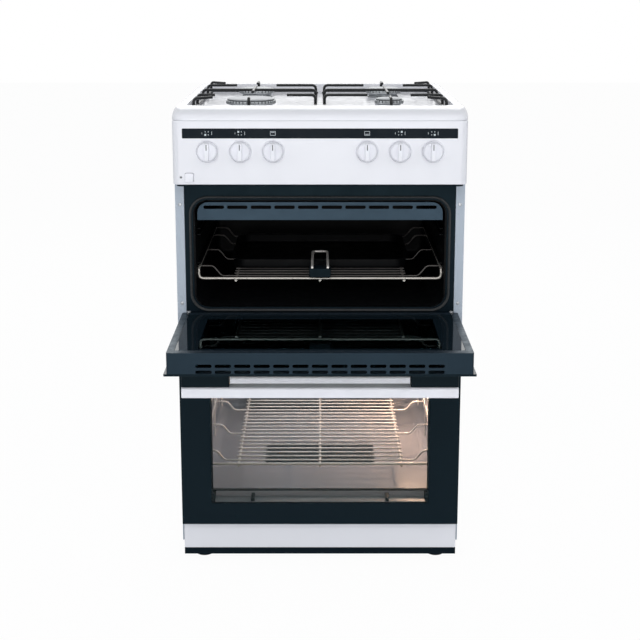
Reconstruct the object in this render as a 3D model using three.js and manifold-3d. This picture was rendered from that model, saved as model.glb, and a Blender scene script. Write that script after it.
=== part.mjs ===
// Freestanding twin-cavity gas range, 550 mm wide. Millimetres, +Z up, +X to the right, -Y to the front.
// The whole range is laid out from the front plane of its body (y = 0 there, y grows to the rear).
// One group then shifts it so that the origin is the centre of the footprint, on the floor.
import * as THREE from 'three';
import { mergeVertices } from 'three/addons/utils/BufferGeometryUtils.js';
import Module from 'manifold-3d';

const wasm = await Module();
wasm.setup();

// ---- driving dimensions ----
const bodyHalf = 275;          // half the width of the body
const rearY = 555;             // rear face, behind the body's front plane
const sheet = 2;               // steel sheet, drawn at an even thickness
const gap = 0.3;               // clearance between pieces that touch
const worktopZ = 876.5;        // underside of the worktop
const rimZ = 899;              // top of the worktop's rim
const wellZ = 881;             // floor of the hob well
const fasciaY = -38;           // front of the control panel
const fasciaZ = 757;           // bottom of the control panel
const floorPlateZ = 29.2;      // top of the base plate
const plinthY = -36;           // front of the bottom panel
const doorInnerY = -5;         // inner face of a closed door
const doorThick = 42;          // a door, glass to glass
const glass = 4;               // door glass
const doorHalf = 264.5;        // half the width of a door's frame
const glassHalf = 270;         // half the width of a door's outer glass
const burnerX = 138;           // burners, left and right of the middle
const frontBurnerY = 170;
const rearBurnerY = 412;
const knobZ = 819;
const knobXs = [-209, -148, -87, 87, 148, 209];
const supportTopZ = 905.5;     // axis of the pan support's top wires
const shelfFrontY = 18;        // front wire of a shelf
const hingeX = 253.5;          // middle of a door hinge's arm
const stripHalf = 255;         // legend strip on the control panel
const stripZ = [843.5, 862];
const buttonX = -243;          // ignition button
const buttonZ = 771;
const cavityHalf = 238;        // half the width inside an oven
const lampY = 262;             // lamp on the main oven's right wall
const lampZ = 318;
const gasPipeX = 250;          // where the gas pipe runs to the rear
const gasPipeZ = 803;

// The cavities: opening in the front frame, shell inside it and depth.
const topOven = { z0: 512, z1: 722, depth: 470, shelfZ: 565, ledges: [582, 650] };
const mainOven = { z0: 136, z1: 410, depth: 500, shelfZ: 184, ledges: [201, 280, 350] };
const openHalf = 241.5;
const openRadius = 28;

// The doors: pivot, and what lies round it when the door is closed (y to the rear, z up).
const topDoor = { name: 'top_door', y: -20, z: 489, top: 262.5, frameBottom: -9, glassBottom: -12,
  window: [40, 236], handleDrop: 29, angle: Math.PI / 2 };
const mainDoor = { name: 'main_door', y: -36, z: 108, top: 332, frameBottom: -13, glassBottom: -24,
  window: [20, 296], handleDrop: 39, angle: 0 };

// The front edge of the open upper door and the rear face end the footprint.
const frontY = topDoor.y - topDoor.top;
const originY = (frontY + rearY) / 2;

// ---- solids ----
// A closed solid from a three.js geometry: only positions stay, and shared corners are merged.
function solid(geometry) {
  const bare = geometry.clone();
  bare.deleteAttribute('normal');
  bare.deleteAttribute('uv');
  const merged = mergeVertices(bare, 1e-4);
  const corners = merged.index.array;
  const faces = [];
  for (let i = 0; i < corners.length; i += 3) {
    const [a, b, c] = [corners[i], corners[i + 1], corners[i + 2]];
    if (a !== b && b !== c && c !== a) faces.push(a, b, c);
  }
  const mesh = new wasm.Mesh({
    numProp: 3,
    vertProperties: new Float32Array(merged.attributes.position.array),
    triVerts: new Uint32Array(faces),
  });
  return new wasm.Manifold(mesh);
}

function join(bodies) {
  return bodies.reduce((sum, body) => sum.add(body));
}

function cut(body, tools) {
  return tools.length ? body.subtract(join(tools)) : body;
}

function geometryOf(body) {
  const mesh = body.getMesh();
  const geometry = new THREE.BufferGeometry();
  geometry.setAttribute('position', new THREE.BufferAttribute(new Float32Array(mesh.vertProperties), 3));
  geometry.setIndex(new THREE.BufferAttribute(new Uint32Array(mesh.triVerts), 1));
  return geometry;
}

function block(x0, x1, y0, y1, z0, z1) {
  const geometry = new THREE.BoxGeometry(x1 - x0, y1 - y0, z1 - z0);
  return solid(geometry.translate((x0 + x1) / 2, (y0 + y1) / 2, (z0 + z1) / 2));
}

// A round bar along 'x', 'y' or 'z', centred at a point.
function bar(axis, radius, length, x, y, z, sides = 16) {
  const geometry = new THREE.CylinderGeometry(radius, radius, length, sides);
  if (axis === 'x') geometry.rotateZ(Math.PI / 2);
  if (axis === 'z') geometry.rotateX(Math.PI / 2);
  return solid(geometry.translate(x, y, z));
}

// A turned piece about the z axis, from points [radius, z] that start and end on the axis.
function turned(profile, sides = 24) {
  const points = profile.map(([r, z]) => new THREE.Vector2(r, z));
  return solid(new THREE.LatheGeometry(points, sides).rotateX(Math.PI / 2));
}

function outline(points) {
  return new THREE.Shape(points.map(([u, v]) => new THREE.Vector2(u, v)));
}

// A rectangle with one radius at its lower corners and one at its upper corners.
function roundedRect(u0, u1, v0, v1, lower, upper = lower) {
  const shape = new THREE.Shape();
  const quarter = Math.PI / 2;
  const corner = (u, v, radius, start) => {
    if (radius > 0) shape.absarc(u, v, radius, start, start + quarter, false);
    else shape.lineTo(u, v);
  };
  shape.moveTo(u0 + lower, v0);
  shape.lineTo(u1 - lower, v0);
  corner(u1 - lower, v0 + lower, lower, -quarter);
  corner(u1 - upper, v1 - upper, upper, 0);
  corner(u0 + upper, v1 - upper, upper, quarter);
  corner(u0 + lower, v0 + lower, lower, 2 * quarter);
  return shape;
}

function extruded(shape, depth, segments) {
  return new THREE.ExtrudeGeometry(shape, { depth, bevelEnabled: false, curveSegments: segments });
}

// A shape drawn from the front (x, z), from y0 to y1.
function frontPlate(shape, y0, y1, segments = 4) {
  return solid(extruded(shape, y1 - y0, segments).rotateX(Math.PI / 2).translate(0, y1, 0));
}

// A shape drawn from above (x, y), from z0 to z1.
function flatPlate(shape, z0, z1, segments = 4) {
  return solid(extruded(shape, z1 - z0, segments).translate(0, 0, z0));
}

// A shape drawn from the side (y, z), from x0 to x1.
function sideProfile(shape, x0, x1, segments = 6) {
  const turn = new THREE.Matrix4().makeBasis(
    new THREE.Vector3(0, 1, 0), new THREE.Vector3(0, 0, 1), new THREE.Vector3(1, 0, 0));
  return solid(extruded(shape, x1 - x0, segments).applyMatrix4(turn).translate(x0, 0, 0));
}

// The centre line of a bent wire: its own points, each rounded off into a short curve.
class WirePath extends THREE.Curve {
  constructor(corners, bend) {
    super();
    const points = corners.map((corner) => new THREE.Vector3(...corner));
    this.points = [points[0]];
    for (let i = 1; i < points.length - 1; i += 1) {
      const room = Math.min(points[i].distanceTo(points[i - 1]), points[i].distanceTo(points[i + 1])) / 2;
      const reach = Math.min(bend, room);
      const start = points[i - 1].clone().sub(points[i]).setLength(reach).add(points[i]);
      const end = points[i + 1].clone().sub(points[i]).setLength(reach).add(points[i]);
      this.points.push(...new THREE.QuadraticBezierCurve3(start, points[i], end).getPoints(2));
    }
    this.points.push(points.at(-1));
  }

  getPoint(t, target = new THREE.Vector3()) {
    const place = t * (this.points.length - 1);
    const i = Math.min(Math.floor(place), this.points.length - 2);
    return target.copy(this.points[i]).lerp(this.points[i + 1], place - i);
  }

  getPointAt(u, target) {
    return this.getPoint(u, target);
  }

  getTangentAt(u, target = new THREE.Vector3()) {
    const i = Math.round(u * (this.points.length - 1));
    const before = this.points[Math.max(i - 1, 0)];
    const after = this.points[Math.min(i + 1, this.points.length - 1)];
    return target.copy(after).sub(before).normalize();
  }
}

function wire(corners, radius, bend = 8) {
  const path = new WirePath(corners, bend);
  const section = new THREE.Shape().absarc(0, 0, radius, 0, 2 * Math.PI, false);
  const geometry = new THREE.ExtrudeGeometry(section, {
    steps: path.points.length - 1, curveSegments: 3, extrudePath: path, bevelEnabled: false });
  return solid(geometry);
}

// ---- finishes and nodes ----
const finishes = {
  whiteEnamel: [0xe6e8f0, 0.28, 0.0],
  blackEnamel: [0x14191e, 0.35, 0.0],
  blackGlass: [0x1a252e, 0.08, 0.0],
  clearGlass: [0x24323a, 0.05, 0.0],
  whitePlastic: [0xe9eaf1, 0.4, 0.0],
  blackPlastic: [0x15181b, 0.5, 0.0],
  coatedSheet: [0x28323c, 0.45, 0.2],
  greyEnamel: [0x4a4644, 0.35, 0.0],
  chrome: [0xc8ccd0, 0.18, 1.0],
  steel: [0x9a9fa3, 0.35, 1.0],
  zincSheet: [0xa9adb0, 0.5, 0.9],
  aluminium: [0xb9bcbe, 0.42, 1.0],
  blackWire: [0x10181a, 0.4, 0.0],
  rubber: [0x1c1c1d, 0.8, 0.0],
  brass: [0xb08d4a, 0.35, 1.0],
  lampGlass: [0xf4e3c0, 0.1, 0.0],
};

function part(name, body, finish, position = [0, 0, 0]) {
  const [color, roughness, metalness] = finishes[finish];
  const material = new THREE.MeshStandardMaterial({ color, roughness, metalness, flatShading: true });
  const mesh = new THREE.Mesh(geometryOf(body), material);
  mesh.name = name;
  mesh.position.set(...position);
  return mesh;
}

const sides = [['left', -1], ['right', 1]];

// ---- body ----
// A side panel is one sheet with a flange folded in at the front and at the rear.
function sidePanel(side) {
  const frontFlange = 17;
  const rearFlange = 13;
  const endY = rearY - 2 * sheet;
  const profile = [
    [bodyHalf, 0], [bodyHalf, endY], [bodyHalf - rearFlange, endY], [bodyHalf - rearFlange, endY - sheet],
    [bodyHalf - sheet, endY - sheet], [bodyHalf - sheet, sheet], [bodyHalf - frontFlange, sheet],
    [bodyHalf - frontFlange, 0]];
  return flatPlate(outline(profile.map(([x, y]) => [side * x, y])), floorPlateZ + gap, worktopZ - gap);
}

function rearPanel() {
  const top = 868;
  const slots = [];
  for (const x of [-150, -50, 50, 150]) {
    for (let row = 0; row < 4; row += 1) {
      slots.push(block(x - 35, x + 35, rearY - 10, rearY + 10, 790 + row * 16, 796 + row * 16));
    }
  }
  slots.push(bar('y', 9, 20, gasPipeX, rearY, gasPipeZ));
  return cut(block(-274, 274, rearY - 1.7, rearY, floorPlateZ + gap, top), slots);
}

// The base plate closes the bottom; its front lip is the dark strip under the bottom panel.
function basePlate() {
  const lipZ = 16.5;
  const under = floorPlateZ - sheet;
  const profile = [
    [plinthY, lipZ], [plinthY + sheet, lipZ], [plinthY + sheet, under], [rearY - 6, under], [rearY - 6, lipZ],
    [rearY - 4, lipZ], [rearY - 4, floorPlateZ], [plinthY, floorPlateZ]];
  return sideProfile(outline(profile), -268, 268);
}

function foot() {
  return turned([[0, 0], [17, 0], [18, 1.5], [18, 6], [14, 8.5], [5, 8.5], [5, 26.9], [0, 26.9]], 14);
}

// The black front frame carries both oven mouths and folds forward as an air guide under the controls.
function frontFrame() {
  const half = 257.7;
  const guideZ = 753.5;
  const plate = block(-half, half, 0, sheet, floorPlateZ + gap, guideZ + sheet);
  const guide = block(-268, 268, plinthY, -gap, guideZ, guideZ + sheet);
  const bridge = block(-half, half, -1, 1, guideZ, guideZ + sheet);
  const tools = [topOven, mainOven].map((oven) =>
    frontPlate(roundedRect(-openHalf, openHalf, oven.z0, oven.z1, openRadius), -5, 5));
  for (const door of [topDoor, mainDoor]) {
    for (const [, side] of sides) {
      const x = side * hingeX;
      tools.push(block(x - 1.8, x + 1.8, -5, 5, door.z - 7, door.z + 7));
    }
  }
  return cut(join([plate, guide, bridge]), tools);
}

function plinthPanel() {
  const top = 80.5;
  const bottom = floorPlateZ + 0.6;
  const profile = [
    [plinthY, bottom], [plinthY + sheet, bottom], [plinthY + sheet, top - sheet], [-1, top - sheet], [-1, top],
    [plinthY, top]];
  return sideProfile(outline(profile), -268, 268);
}

// The control panel is a tray open to the rear, with holes for the tap spindles and the button,
// and a shallow recess where the dark legend strip is printed.
function controlPanel() {
  const half = 274;
  const wall = 2.4;
  const top = worktopZ - gap;
  const shell = flatPlate(roundedRect(-half, half, fasciaY, 40, 12, 0), fasciaZ, top, 5);
  const trimmed = shell.subtract(block(-300, 300, -gap, 60, fasciaZ - 5, top + 5));
  const hollow = flatPlate(roundedRect(-half + wall, half - wall, fasciaY + wall, 40, 10, 0),
    fasciaZ + wall, top - wall, 5);
  const tools = [hollow];
  for (const x of knobXs) tools.push(bar('y', 6, 20, x, fasciaY, knobZ));
  tools.push(frontPlate(roundedRect(buttonX - 8.5, buttonX + 8.5, buttonZ - 8.5, buttonZ + 8.5, 3),
    fasciaY - 5, fasciaY + 5, 3));
  tools.push(block(-stripHalf, stripHalf, fasciaY - 5, fasciaY + 0.8, ...stripZ));
  return cut(trimmed, tools);
}

// The worktop is one pressing: rounded front, flat rim and a sunk well with a hole under each burner.
// It is hollow from below, under the well and under the rim.
function worktop() {
  const lip = 8;
  const wellHalf = 254;
  const well = [24, 530];
  const side = new THREE.Shape();
  side.moveTo(fasciaY, worktopZ);
  side.lineTo(rearY, worktopZ);
  side.lineTo(rearY, rimZ - lip);
  side.absarc(rearY - lip, rimZ - lip, lip, 0, Math.PI / 2, false);
  side.lineTo(4, rimZ);
  side.bezierCurveTo(-20, rimZ, fasciaY, rimZ - 6, fasciaY, worktopZ + 4);
  side.closePath();
  const pressing = sideProfile(side, -bodyHalf, bodyHalf, 7);
  const plan = flatPlate(roundedRect(-bodyHalf, bodyHalf, fasciaY, rearY, 24), worktopZ - 5, rimZ + 5, 7);
  const sunk = flatPlate(roundedRect(-wellHalf, wellHalf, ...well, 20), wellZ, rimZ + 5, 6);
  const under = worktopZ - 5;
  const rimInside = rimZ - 2.5;
  const hollows = [
    block(-wellHalf + 1, wellHalf - 1, well[0] + 1, well[1] - 1, under, wellZ - sheet),
    block(-bodyHalf + 6, bodyHalf - 6, fasciaY + 4, -14, under, wellZ),
    block(-bodyHalf + 6, bodyHalf - 6, -14, 0, under, rimZ - 7),
    block(-bodyHalf + 6, bodyHalf - 6, 0, well[0] - 2.5, under, rimInside),
    block(-bodyHalf + 12, bodyHalf - 12, well[1] + 2.5, rearY - 8, under, rimInside),
  ];
  for (const [, s] of sides) {
    const [x0, x1] = s < 0 ? [-bodyHalf + 2.5, -wellHalf - 2.5] : [wellHalf + 2.5, bodyHalf - 2.5];
    hollows.push(block(x0, x1, well[0], well[1], under, rimInside));
  }
  const holes = burners.map((burner) => bar('z', burner.radius * 0.42 + 1, 30, burner.x, burner.y, wellZ, 20));
  return cut(pressing.intersect(plan), [sunk, ...hollows, ...holes]);
}

// ---- ovens ----
// A cavity is an enamelled box open to the front, flanged behind the front frame, with ledges for shelves.
function cavity(oven) {
  const wall = sheet;
  const z0 = oven.z0 + 2;
  const z1 = oven.z1 - 2;
  const shellY = sheet + gap;
  const outer = roundedRect(-cavityHalf - wall, cavityHalf + wall, z0 - wall, z1 + wall, 27);
  const flange = roundedRect(-249.5, 249.5, z0 - 9, z1 + 9, 32);
  const inner = roundedRect(-cavityHalf, cavityHalf, z0, z1, 25);
  const box = frontPlate(outer, shellY, oven.depth);
  const rim = frontPlate(flange, shellY, shellY + 1.5);
  const room = frontPlate(inner, -5, oven.depth - wall);
  const ledges = [];
  for (const z of oven.ledges) {
    for (const [, side] of sides) {
      const inside = side * 231;
      const outside = side * (cavityHalf + 1);
      const [x0, x1] = [Math.min(inside, outside), Math.max(inside, outside)];
      ledges.push(block(x0, x1, 32, 440, z - 4, z), block(x0, x1, 32, 440, z + 8, z + 12));
    }
  }
  const tools = oven === mainOven ? [bar('x', 16.5, 30, cavityHalf, lampY, lampZ, 20)] : [];
  return cut(join([cut(join([box, rim]), [room]), ...ledges]), tools);
}

// The lamp's glass screws into the right wall of the main oven, its dome inside.
function ovenLamp() {
  const glassDome = turned([[0, -17], [12, -16], [20, -11], [23, -gap], [16, -gap], [16, 20], [0, 20]], 20);
  return glassDome.rotate([0, 90, 0]).translate([cavityHalf, lampY, lampZ]);
}

// A door seal is a flat ring in front of the frame, round the oven's mouth.
function seal(oven) {
  const ring = (grow) => roundedRect(-openHalf - grow, openHalf + grow, oven.z0 - grow, oven.z1 + grow,
    openRadius + grow);
  return frontPlate(ring(8.5), -4.5, -gap).subtract(frontPlate(ring(2.5), -10, 5));
}

function grillDeflector() {
  const half = 234;
  const plate = frontPlate(roundedRect(-half, half, 682, 716.5, 0, 21), 6, 7.5);
  const slots = [];
  for (let i = 0; i < 10; i += 1) {
    const x = (i - 4.5) * 45;
    slots.push(block(x - 19.5, x + 19.5, 0, 12, 703.5, 710));
  }
  const fold = block(-half + 22, half - 22, 6, 22, 715, 716.5);
  return join([cut(plate, slots), fold]);
}

// A tube burner along the back of an oven, under a folded guard with a toothed lower edge.
function tubeBurner(half, guardHeight) {
  const tube = bar('x', 8, 2 * half - 20, 0, 0, 0, 16);
  const feed = bar('y', 5, 16, 0, 8, 0, 10);
  const guard = sideProfile(outline([[-12, 4], [-10.5, 4], [-10.5, guardHeight], [14, guardHeight],
    [14, guardHeight + 1.5], [-12, guardHeight + 1.5]]), -half, half);
  const web = block(-half + 20, half - 20, -1, 1, 6, guardHeight + 1);
  const teeth = [];
  const pitch = 26;
  for (let x = -half + pitch; x < half - pitch / 2; x += pitch) {
    teeth.push(block(x - 3, x + 3, -14, -9, 0, 7));
  }
  return cut(join([tube, feed, guard, web]), teeth);
}

// The grill burner is a flat box with its gas slots in the underside.
function grillBurner() {
  const plate = block(-150, 150, -130, 130, 0, 5);
  const boxTop = block(-140, 140, -120, 120, 4, 14);
  const feed = bar('y', 6, 60, 0, 150, 8, 12);
  const tools = [block(-138, 138, -118, 118, 2, 12)];
  for (let y = -100; y <= 100; y += 40) tools.push(block(-120, 120, y - 2, y + 2, -5, 5));
  return join([cut(join([plate, boxTop]), tools), feed]);
}

function floorPlate() {
  const plate = flatPlate(roundedRect(-115, 115, -60, 60, 18), 0, 2.5, 4);
  return plate.add(flatPlate(roundedRect(-95, 95, -42, 42, 12), 2, 5, 4));
}

// A wire shelf. Its grid lies at z = 0 and its side rails hang on the ledges above it.
function wireShelf() {
  const railX = 234.3;
  const railZ = 20;
  const depth = 412;
  const pitch = depth / 19;
  const rodX = 163;
  const thin = 1.75;
  const thick = 2.5;
  const wires = [wire([[-railX, depth, railZ], [-railX, 0, railZ], [-railX, 0, 0], [railX, 0, 0],
    [railX, 0, railZ], [railX, depth, railZ]], thick, 9)];
  for (const x of [-rodX, 0, rodX]) {
    wires.push(wire([[x, -1, -thick - thin + 0.4], [x, depth + 2, -thick - thin + 0.4]], thick));
  }
  for (let i = 1; i <= 19; i += 1) {
    const y = i * pitch;
    const hooked = [1, 8, 15, 19].includes(i);
    const route = hooked
      ? [[-railX, y, railZ], [-208, y, railZ], [-192, y, 0], [192, y, 0], [208, y, railZ], [railX, y, railZ]]
      : [[-rodX - 5, y, 0], [rodX + 5, y, 0]];
    wires.push(wire(route, thin, 5));
  }
  return join(wires);
}

// The grill pan is a shallow tray with a turned-out rim.
function grillPan() {
  const half = 172;
  const depth = 250;
  const height = 19;
  const wall = 1.6;
  const tray = flatPlate(roundedRect(-half, half, 0, depth, 24), 0, height, 5);
  const rim = flatPlate(roundedRect(-half - 6, half + 6, -6, depth + 6, 30), height - wall, height, 5);
  const room = flatPlate(roundedRect(-half + wall, half - wall, wall, depth - wall, 22), wall, height + 5, 5);
  return cut(join([tray, rim]), [room]);
}

// The pan's loose handle: two rods that reach over the rim, and a grip at the front.
function grillPanHandle() {
  const grip = sideProfile(roundedRect(2, 34, -20.7, 10.5, 5), -21, 21, 3);
  const rods = wire([[-15, 30, 0], [-15, 150, 0], [15, 150, 0], [15, 30, 0]], 2.5, 8);
  return join([grip, rods]);
}

// ---- hob ----
const burners = [
  { name: 'front_left', x: -burnerX, y: frontBurnerY, radius: 50, slots: 18, reach: 72 },
  { name: 'front_right', x: burnerX, y: frontBurnerY, radius: 29, slots: 10, reach: 43 },
  { name: 'rear_left', x: -burnerX, y: rearBurnerY, radius: 38, slots: 14, reach: 43 },
  { name: 'rear_right', x: burnerX, y: rearBurnerY, radius: 38, slots: 14, reach: 43 },
];

// A burner body stands on the well's floor: a stem through it, a skirt and a crown with flame ports.
function burnerBody({ radius, slots }) {
  const stem = radius * 0.42;
  const neck = radius * 0.8;
  const body = turned([[0, -9], [stem, -9], [stem, gap], [neck + 3, gap], [neck + 3, 2.5], [neck, 4],
    [neck, 6.5], [radius, 8], [radius, 14], [radius - 2, 15], [0, 15]]);
  const ports = [];
  for (let i = 0; i < slots; i += 1) {
    const port = block(radius - 5, radius + 5, -1.1, 1.1, 11.5, 20);
    ports.push(port.rotate([0, 0, i * 360 / slots]));
  }
  return cut(body, ports);
}

function burnerCap({ radius }) {
  const edge = radius - 2.5;
  const z = 15 + gap;
  return turned([[0, z], [edge, z], [edge, z + 2], [edge - 2.5, z + 4], [0, z + 4.6]]);
}

// A pan support for one side of the hob: a base loop in the well and hooks that carry the pans.
function panSupport(side) {
  const inner = 9;
  const outer = 245;
  const front = 88;
  const rear = 507;
  const baseZ = wellZ + 4.6;
  const radius = 3.8;
  const top = supportTopZ;
  const crossY = (frontBurnerY + rearBurnerY) / 2;
  const near = burners.filter((burner) => Math.sign(burner.x) === side);
  const routes = [
    [[inner, front - 3, baseZ], [inner, rear, baseZ], [outer, rear, baseZ], [outer, front - 3, baseZ]],
    [[inner - 3, front, baseZ - 0.4], [outer + 3, front, baseZ - 0.4]],
    [[outer, crossY, baseZ], [outer, crossY, top], [inner, crossY, top], [inner, crossY, baseZ]],
    [[outer, front + 2, baseZ], [outer, front + 2, top], [212, front + 32, top]],
    [[outer, rear - 9, baseZ], [outer, rear - 9, top], [212, rear - 38, top]],
    [[burnerX, near[0].y + near[0].reach, top - 0.4], [burnerX, near[1].y - near[1].reach, top - 0.4]],
  ];
  for (const { y, reach } of near) {
    routes.push([[outer, y, baseZ], [outer, y, top], [burnerX + reach, y, top]]);
    routes.push([[inner, y, baseZ], [inner, y, top], [burnerX - reach, y, top]]);
    const railY = y < crossY ? front : rear;
    const inward = y < crossY ? 1 : -1;
    const tip = Math.abs(railY - y) > reach + 12 ? y - inward * reach : railY + inward * 12;
    routes.push([[burnerX, railY, baseZ], [burnerX, railY, top], [burnerX, tip, top]]);
  }
  const wires = routes.map((route) => wire(route.map(([x, y, z]) => [side * x, y, z]), radius, 7));
  for (const x of [inner, outer]) {
    for (const y of [front + 24, rear - 24]) {
      wires.push(bar('z', 4.5, 4.2, side * x, y, wellZ + gap + 2.1, 10));
    }
  }
  return join(wires);
}

// ---- controls ----
// A knob: skirt and grip in one, with a blind bore from behind for the tap's spindle (y = 0 is its back).
function knob() {
  const skirt = turned([[0, 0], [19, 0], [19, 3], [17, 8], [14.5, 9.5], [0, 9.5]], 20);
  const grip = sideProfile(roundedRect(-17.5, 17.5, 5, 19.5, 0, 5), -4.2, 4.2, 3);
  const bore = bar('z', 4.4, 20, 0, 0, 0, 14);
  return cut(skirt.add(grip), [bore]).rotate([90, 0, 0]);
}

function ignitionButton() {
  return frontPlate(roundedRect(-8, 8, -8, 8, 2.6), -4, 8, 3);
}

// The gas rail: six taps with spindles on a pipe behind the control panel, fed from the rear.
function gasRail() {
  const pipeY = -8;
  const pieces = [wire([[-230, pipeY, gasPipeZ], [gasPipeX, pipeY, gasPipeZ], [gasPipeX, rearY - 0.5, gasPipeZ]],
    7.5, 20)];
  for (const x of knobXs) {
    pieces.push(bar('y', 10, 30, x, -15, knobZ, 10));
    pieces.push(bar('y', 4, 40, x, fasciaY - 9.2 + 20, knobZ, 10));
  }
  return join(pieces);
}

// ---- doors ----
// The fixed half of a door hinge: an arm from behind the front frame, with the pin at its end.
function hingeArm(door) {
  const arm = sideProfile(roundedRect(-3, 14 - door.y, -5.5, 5.5, 0), -1.5, 1.5);
  const eye = bar('x', 6.2, 3, 0, 0, 0, 12);
  const pin = bar('x', 3, 12, 0, 0, 0, 12);
  return join([arm, eye, pin]);
}

// A door about its pivot, drawn closed: frame, two glasses and a handle of two posts and a bar.
// The frame is a folded ring, hollow between its two faces, with a block for each hinge at the bottom.
function ovenDoor(door) {
  const inner = doorInnerY - door.y;
  const outer = inner - doorThick;
  const frameY = outer + glass + gap;
  const recess = [door.frameBottom + 14, door.top - 16];
  const frame = frontPlate(roundedRect(-doorHalf, doorHalf, door.frameBottom, door.top, 0, 8), frameY, inner, 4);
  const hollow = [frameY + 1.5, inner - glass - gap - 1.5];
  const tools = [
    block(-252, 252, inner - glass - gap, inner + 5, ...recess),
    frontPlate(roundedRect(-214, 214, ...door.window, 14), -60, 60, 4),
    block(-238, 238, ...hollow, door.frameBottom + 1.5, 15),
    frontPlate(roundedRect(-doorHalf + 1.5, doorHalf - 1.5, 12, door.top - 1.5, 0, 6.5), ...hollow, 4),
  ];
  for (const row of [0, 1]) {
    const y = outer + 18.5 - row * 10.7;
    for (let i = -6; i <= 6; i += 1) {
      tools.push(block(i * 33.4 - 14, i * 33.4 + 14, y - 3, y + 3, door.top - 9, door.top + 5));
    }
  }
  for (const [, side] of sides) {
    const x = side * hingeX;
    tools.push(block(x - 2, x + 2, -8, inner + 5, door.frameBottom - 5, 8));
    tools.push(bar('x', 3.4, 13, x, 0, 0, 12));
  }
  const group = new THREE.Group();
  group.position.set(0, door.y, door.z);
  group.rotation.x = door.angle;
  group.add(part(`${door.name}_frame`, cut(frame, tools), 'coatedSheet'));
  group.add(part(`${door.name}_inner_glass`, block(-251.7, 251.7, inner - glass, inner - 0.01,
    recess[0] + gap, recess[1] - gap), 'clearGlass'));
  group.add(part(`${door.name}_outer_glass`,
    frontPlate(roundedRect(-glassHalf, glassHalf, door.glassBottom, door.top, 2), outer, outer + glass, 3),
    'blackGlass'));
  const barTop = door.top - door.handleDrop;
  const barHigh = 30;
  const standoff = 30;
  const barY = outer - standoff - gap;
  for (const [word, side] of sides) {
    const [x0, x1] = side < 0 ? [-243, -159] : [159, 243];
    const post = block(x0, x1, outer - standoff, outer - gap, barTop - barHigh + 3, barTop - 3);
    group.add(part(`${door.name}_handle_post_${word}`, post, 'blackPlastic'));
  }
  const handle = sideProfile(roundedRect(barY - 19.5, barY, barTop - barHigh, barTop, 5), -243, 243, 4);
  group.add(part(`${door.name}_handle_bar`, handle, 'whitePlastic'));
  return group;
}

// ---- the range ----
const range = new THREE.Group();
range.position.y = -originY;

for (const [word, side] of sides) {
  range.add(part(`side_panel_${word}`, sidePanel(side), 'whiteEnamel'));
  range.add(part(`pan_support_${word}`, panSupport(side), 'blackWire'));
  for (const door of [topDoor, mainDoor]) {
    const name = door === topDoor ? 'top' : 'main';
    range.add(part(`${name}_hinge_arm_${word}`, hingeArm(door), 'steel', [side * hingeX, door.y, door.z]));
  }
  range.add(part(`foot_front_${word}`, foot(), 'rubber', [side * 232, 8, 0]));
  range.add(part(`foot_rear_${word}`, foot(), 'rubber', [side * 232, 515, 0]));
}
range.add(part('rear_panel', rearPanel(), 'zincSheet'));
range.add(part('base_plate', basePlate(), 'blackEnamel'));
range.add(part('front_frame', frontFrame(), 'blackEnamel'));
range.add(part('plinth_panel', plinthPanel(), 'whiteEnamel'));
range.add(part('control_panel', controlPanel(), 'whiteEnamel'));
range.add(part('worktop', worktop(), 'whiteEnamel'));

range.add(part('top_oven_cavity', cavity(topOven), 'blackEnamel'));
range.add(part('main_oven_cavity', cavity(mainOven), 'greyEnamel'));
range.add(part('top_oven_seal', seal(topOven), 'rubber'));
range.add(part('main_oven_seal', seal(mainOven), 'rubber'));
range.add(part('grill_deflector', grillDeflector(), 'coatedSheet'));
range.add(part('grill_burner', grillBurner(), 'steel', [0, 250, 700]));
range.add(part('top_oven_burner', tubeBurner(172, 18), 'coatedSheet', [0, 450, 542]));
range.add(part('main_oven_burner', tubeBurner(172, 18), 'coatedSheet', [0, 472, 150]));
range.add(part('oven_floor_plate', floorPlate(), 'blackEnamel', [0, 192, mainOven.z0 + 2 + gap]));
range.add(part('oven_lamp', ovenLamp(), 'lampGlass'));
range.add(part('top_oven_shelf', wireShelf(), 'chrome', [0, shelfFrontY, topOven.shelfZ]));
range.add(part('main_oven_shelf', wireShelf(), 'chrome', [0, shelfFrontY, mainOven.shelfZ]));
range.add(part('grill_pan', grillPan(), 'blackEnamel', [0, 95, topOven.shelfZ + 3.1]));
range.add(part('grill_pan_handle', grillPanHandle(), 'chrome', [0, 0, topOven.shelfZ + 25.2]));

for (const burner of burners) {
  const place = [burner.x, burner.y, wellZ];
  range.add(part(`burner_body_${burner.name}`, burnerBody(burner), 'aluminium', place));
  range.add(part(`burner_cap_${burner.name}`, burnerCap(burner), 'steel', place));
}

knobXs.forEach((x, i) => {
  range.add(part(`knob_${i + 1}`, knob(), 'whitePlastic', [x, fasciaY - 1.2, knobZ]));
});
range.add(part('ignition_button', ignitionButton(), 'whitePlastic', [buttonX, fasciaY, buttonZ]));
range.add(part('gas_rail', gasRail(), 'brass'));

range.add(ovenDoor(topDoor));
range.add(ovenDoor(mainDoor));

export default range;
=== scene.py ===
# The looks of a freestanding gas range: every visible piece, its finish, a plain stage and a camera.

import math

import bmesh
import bpy
from bpy.props import FloatProperty, FloatVectorProperty, PointerProperty
from bpy.types import Operator, Panel, PropertyGroup
from mathutils import Matrix, Vector


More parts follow.
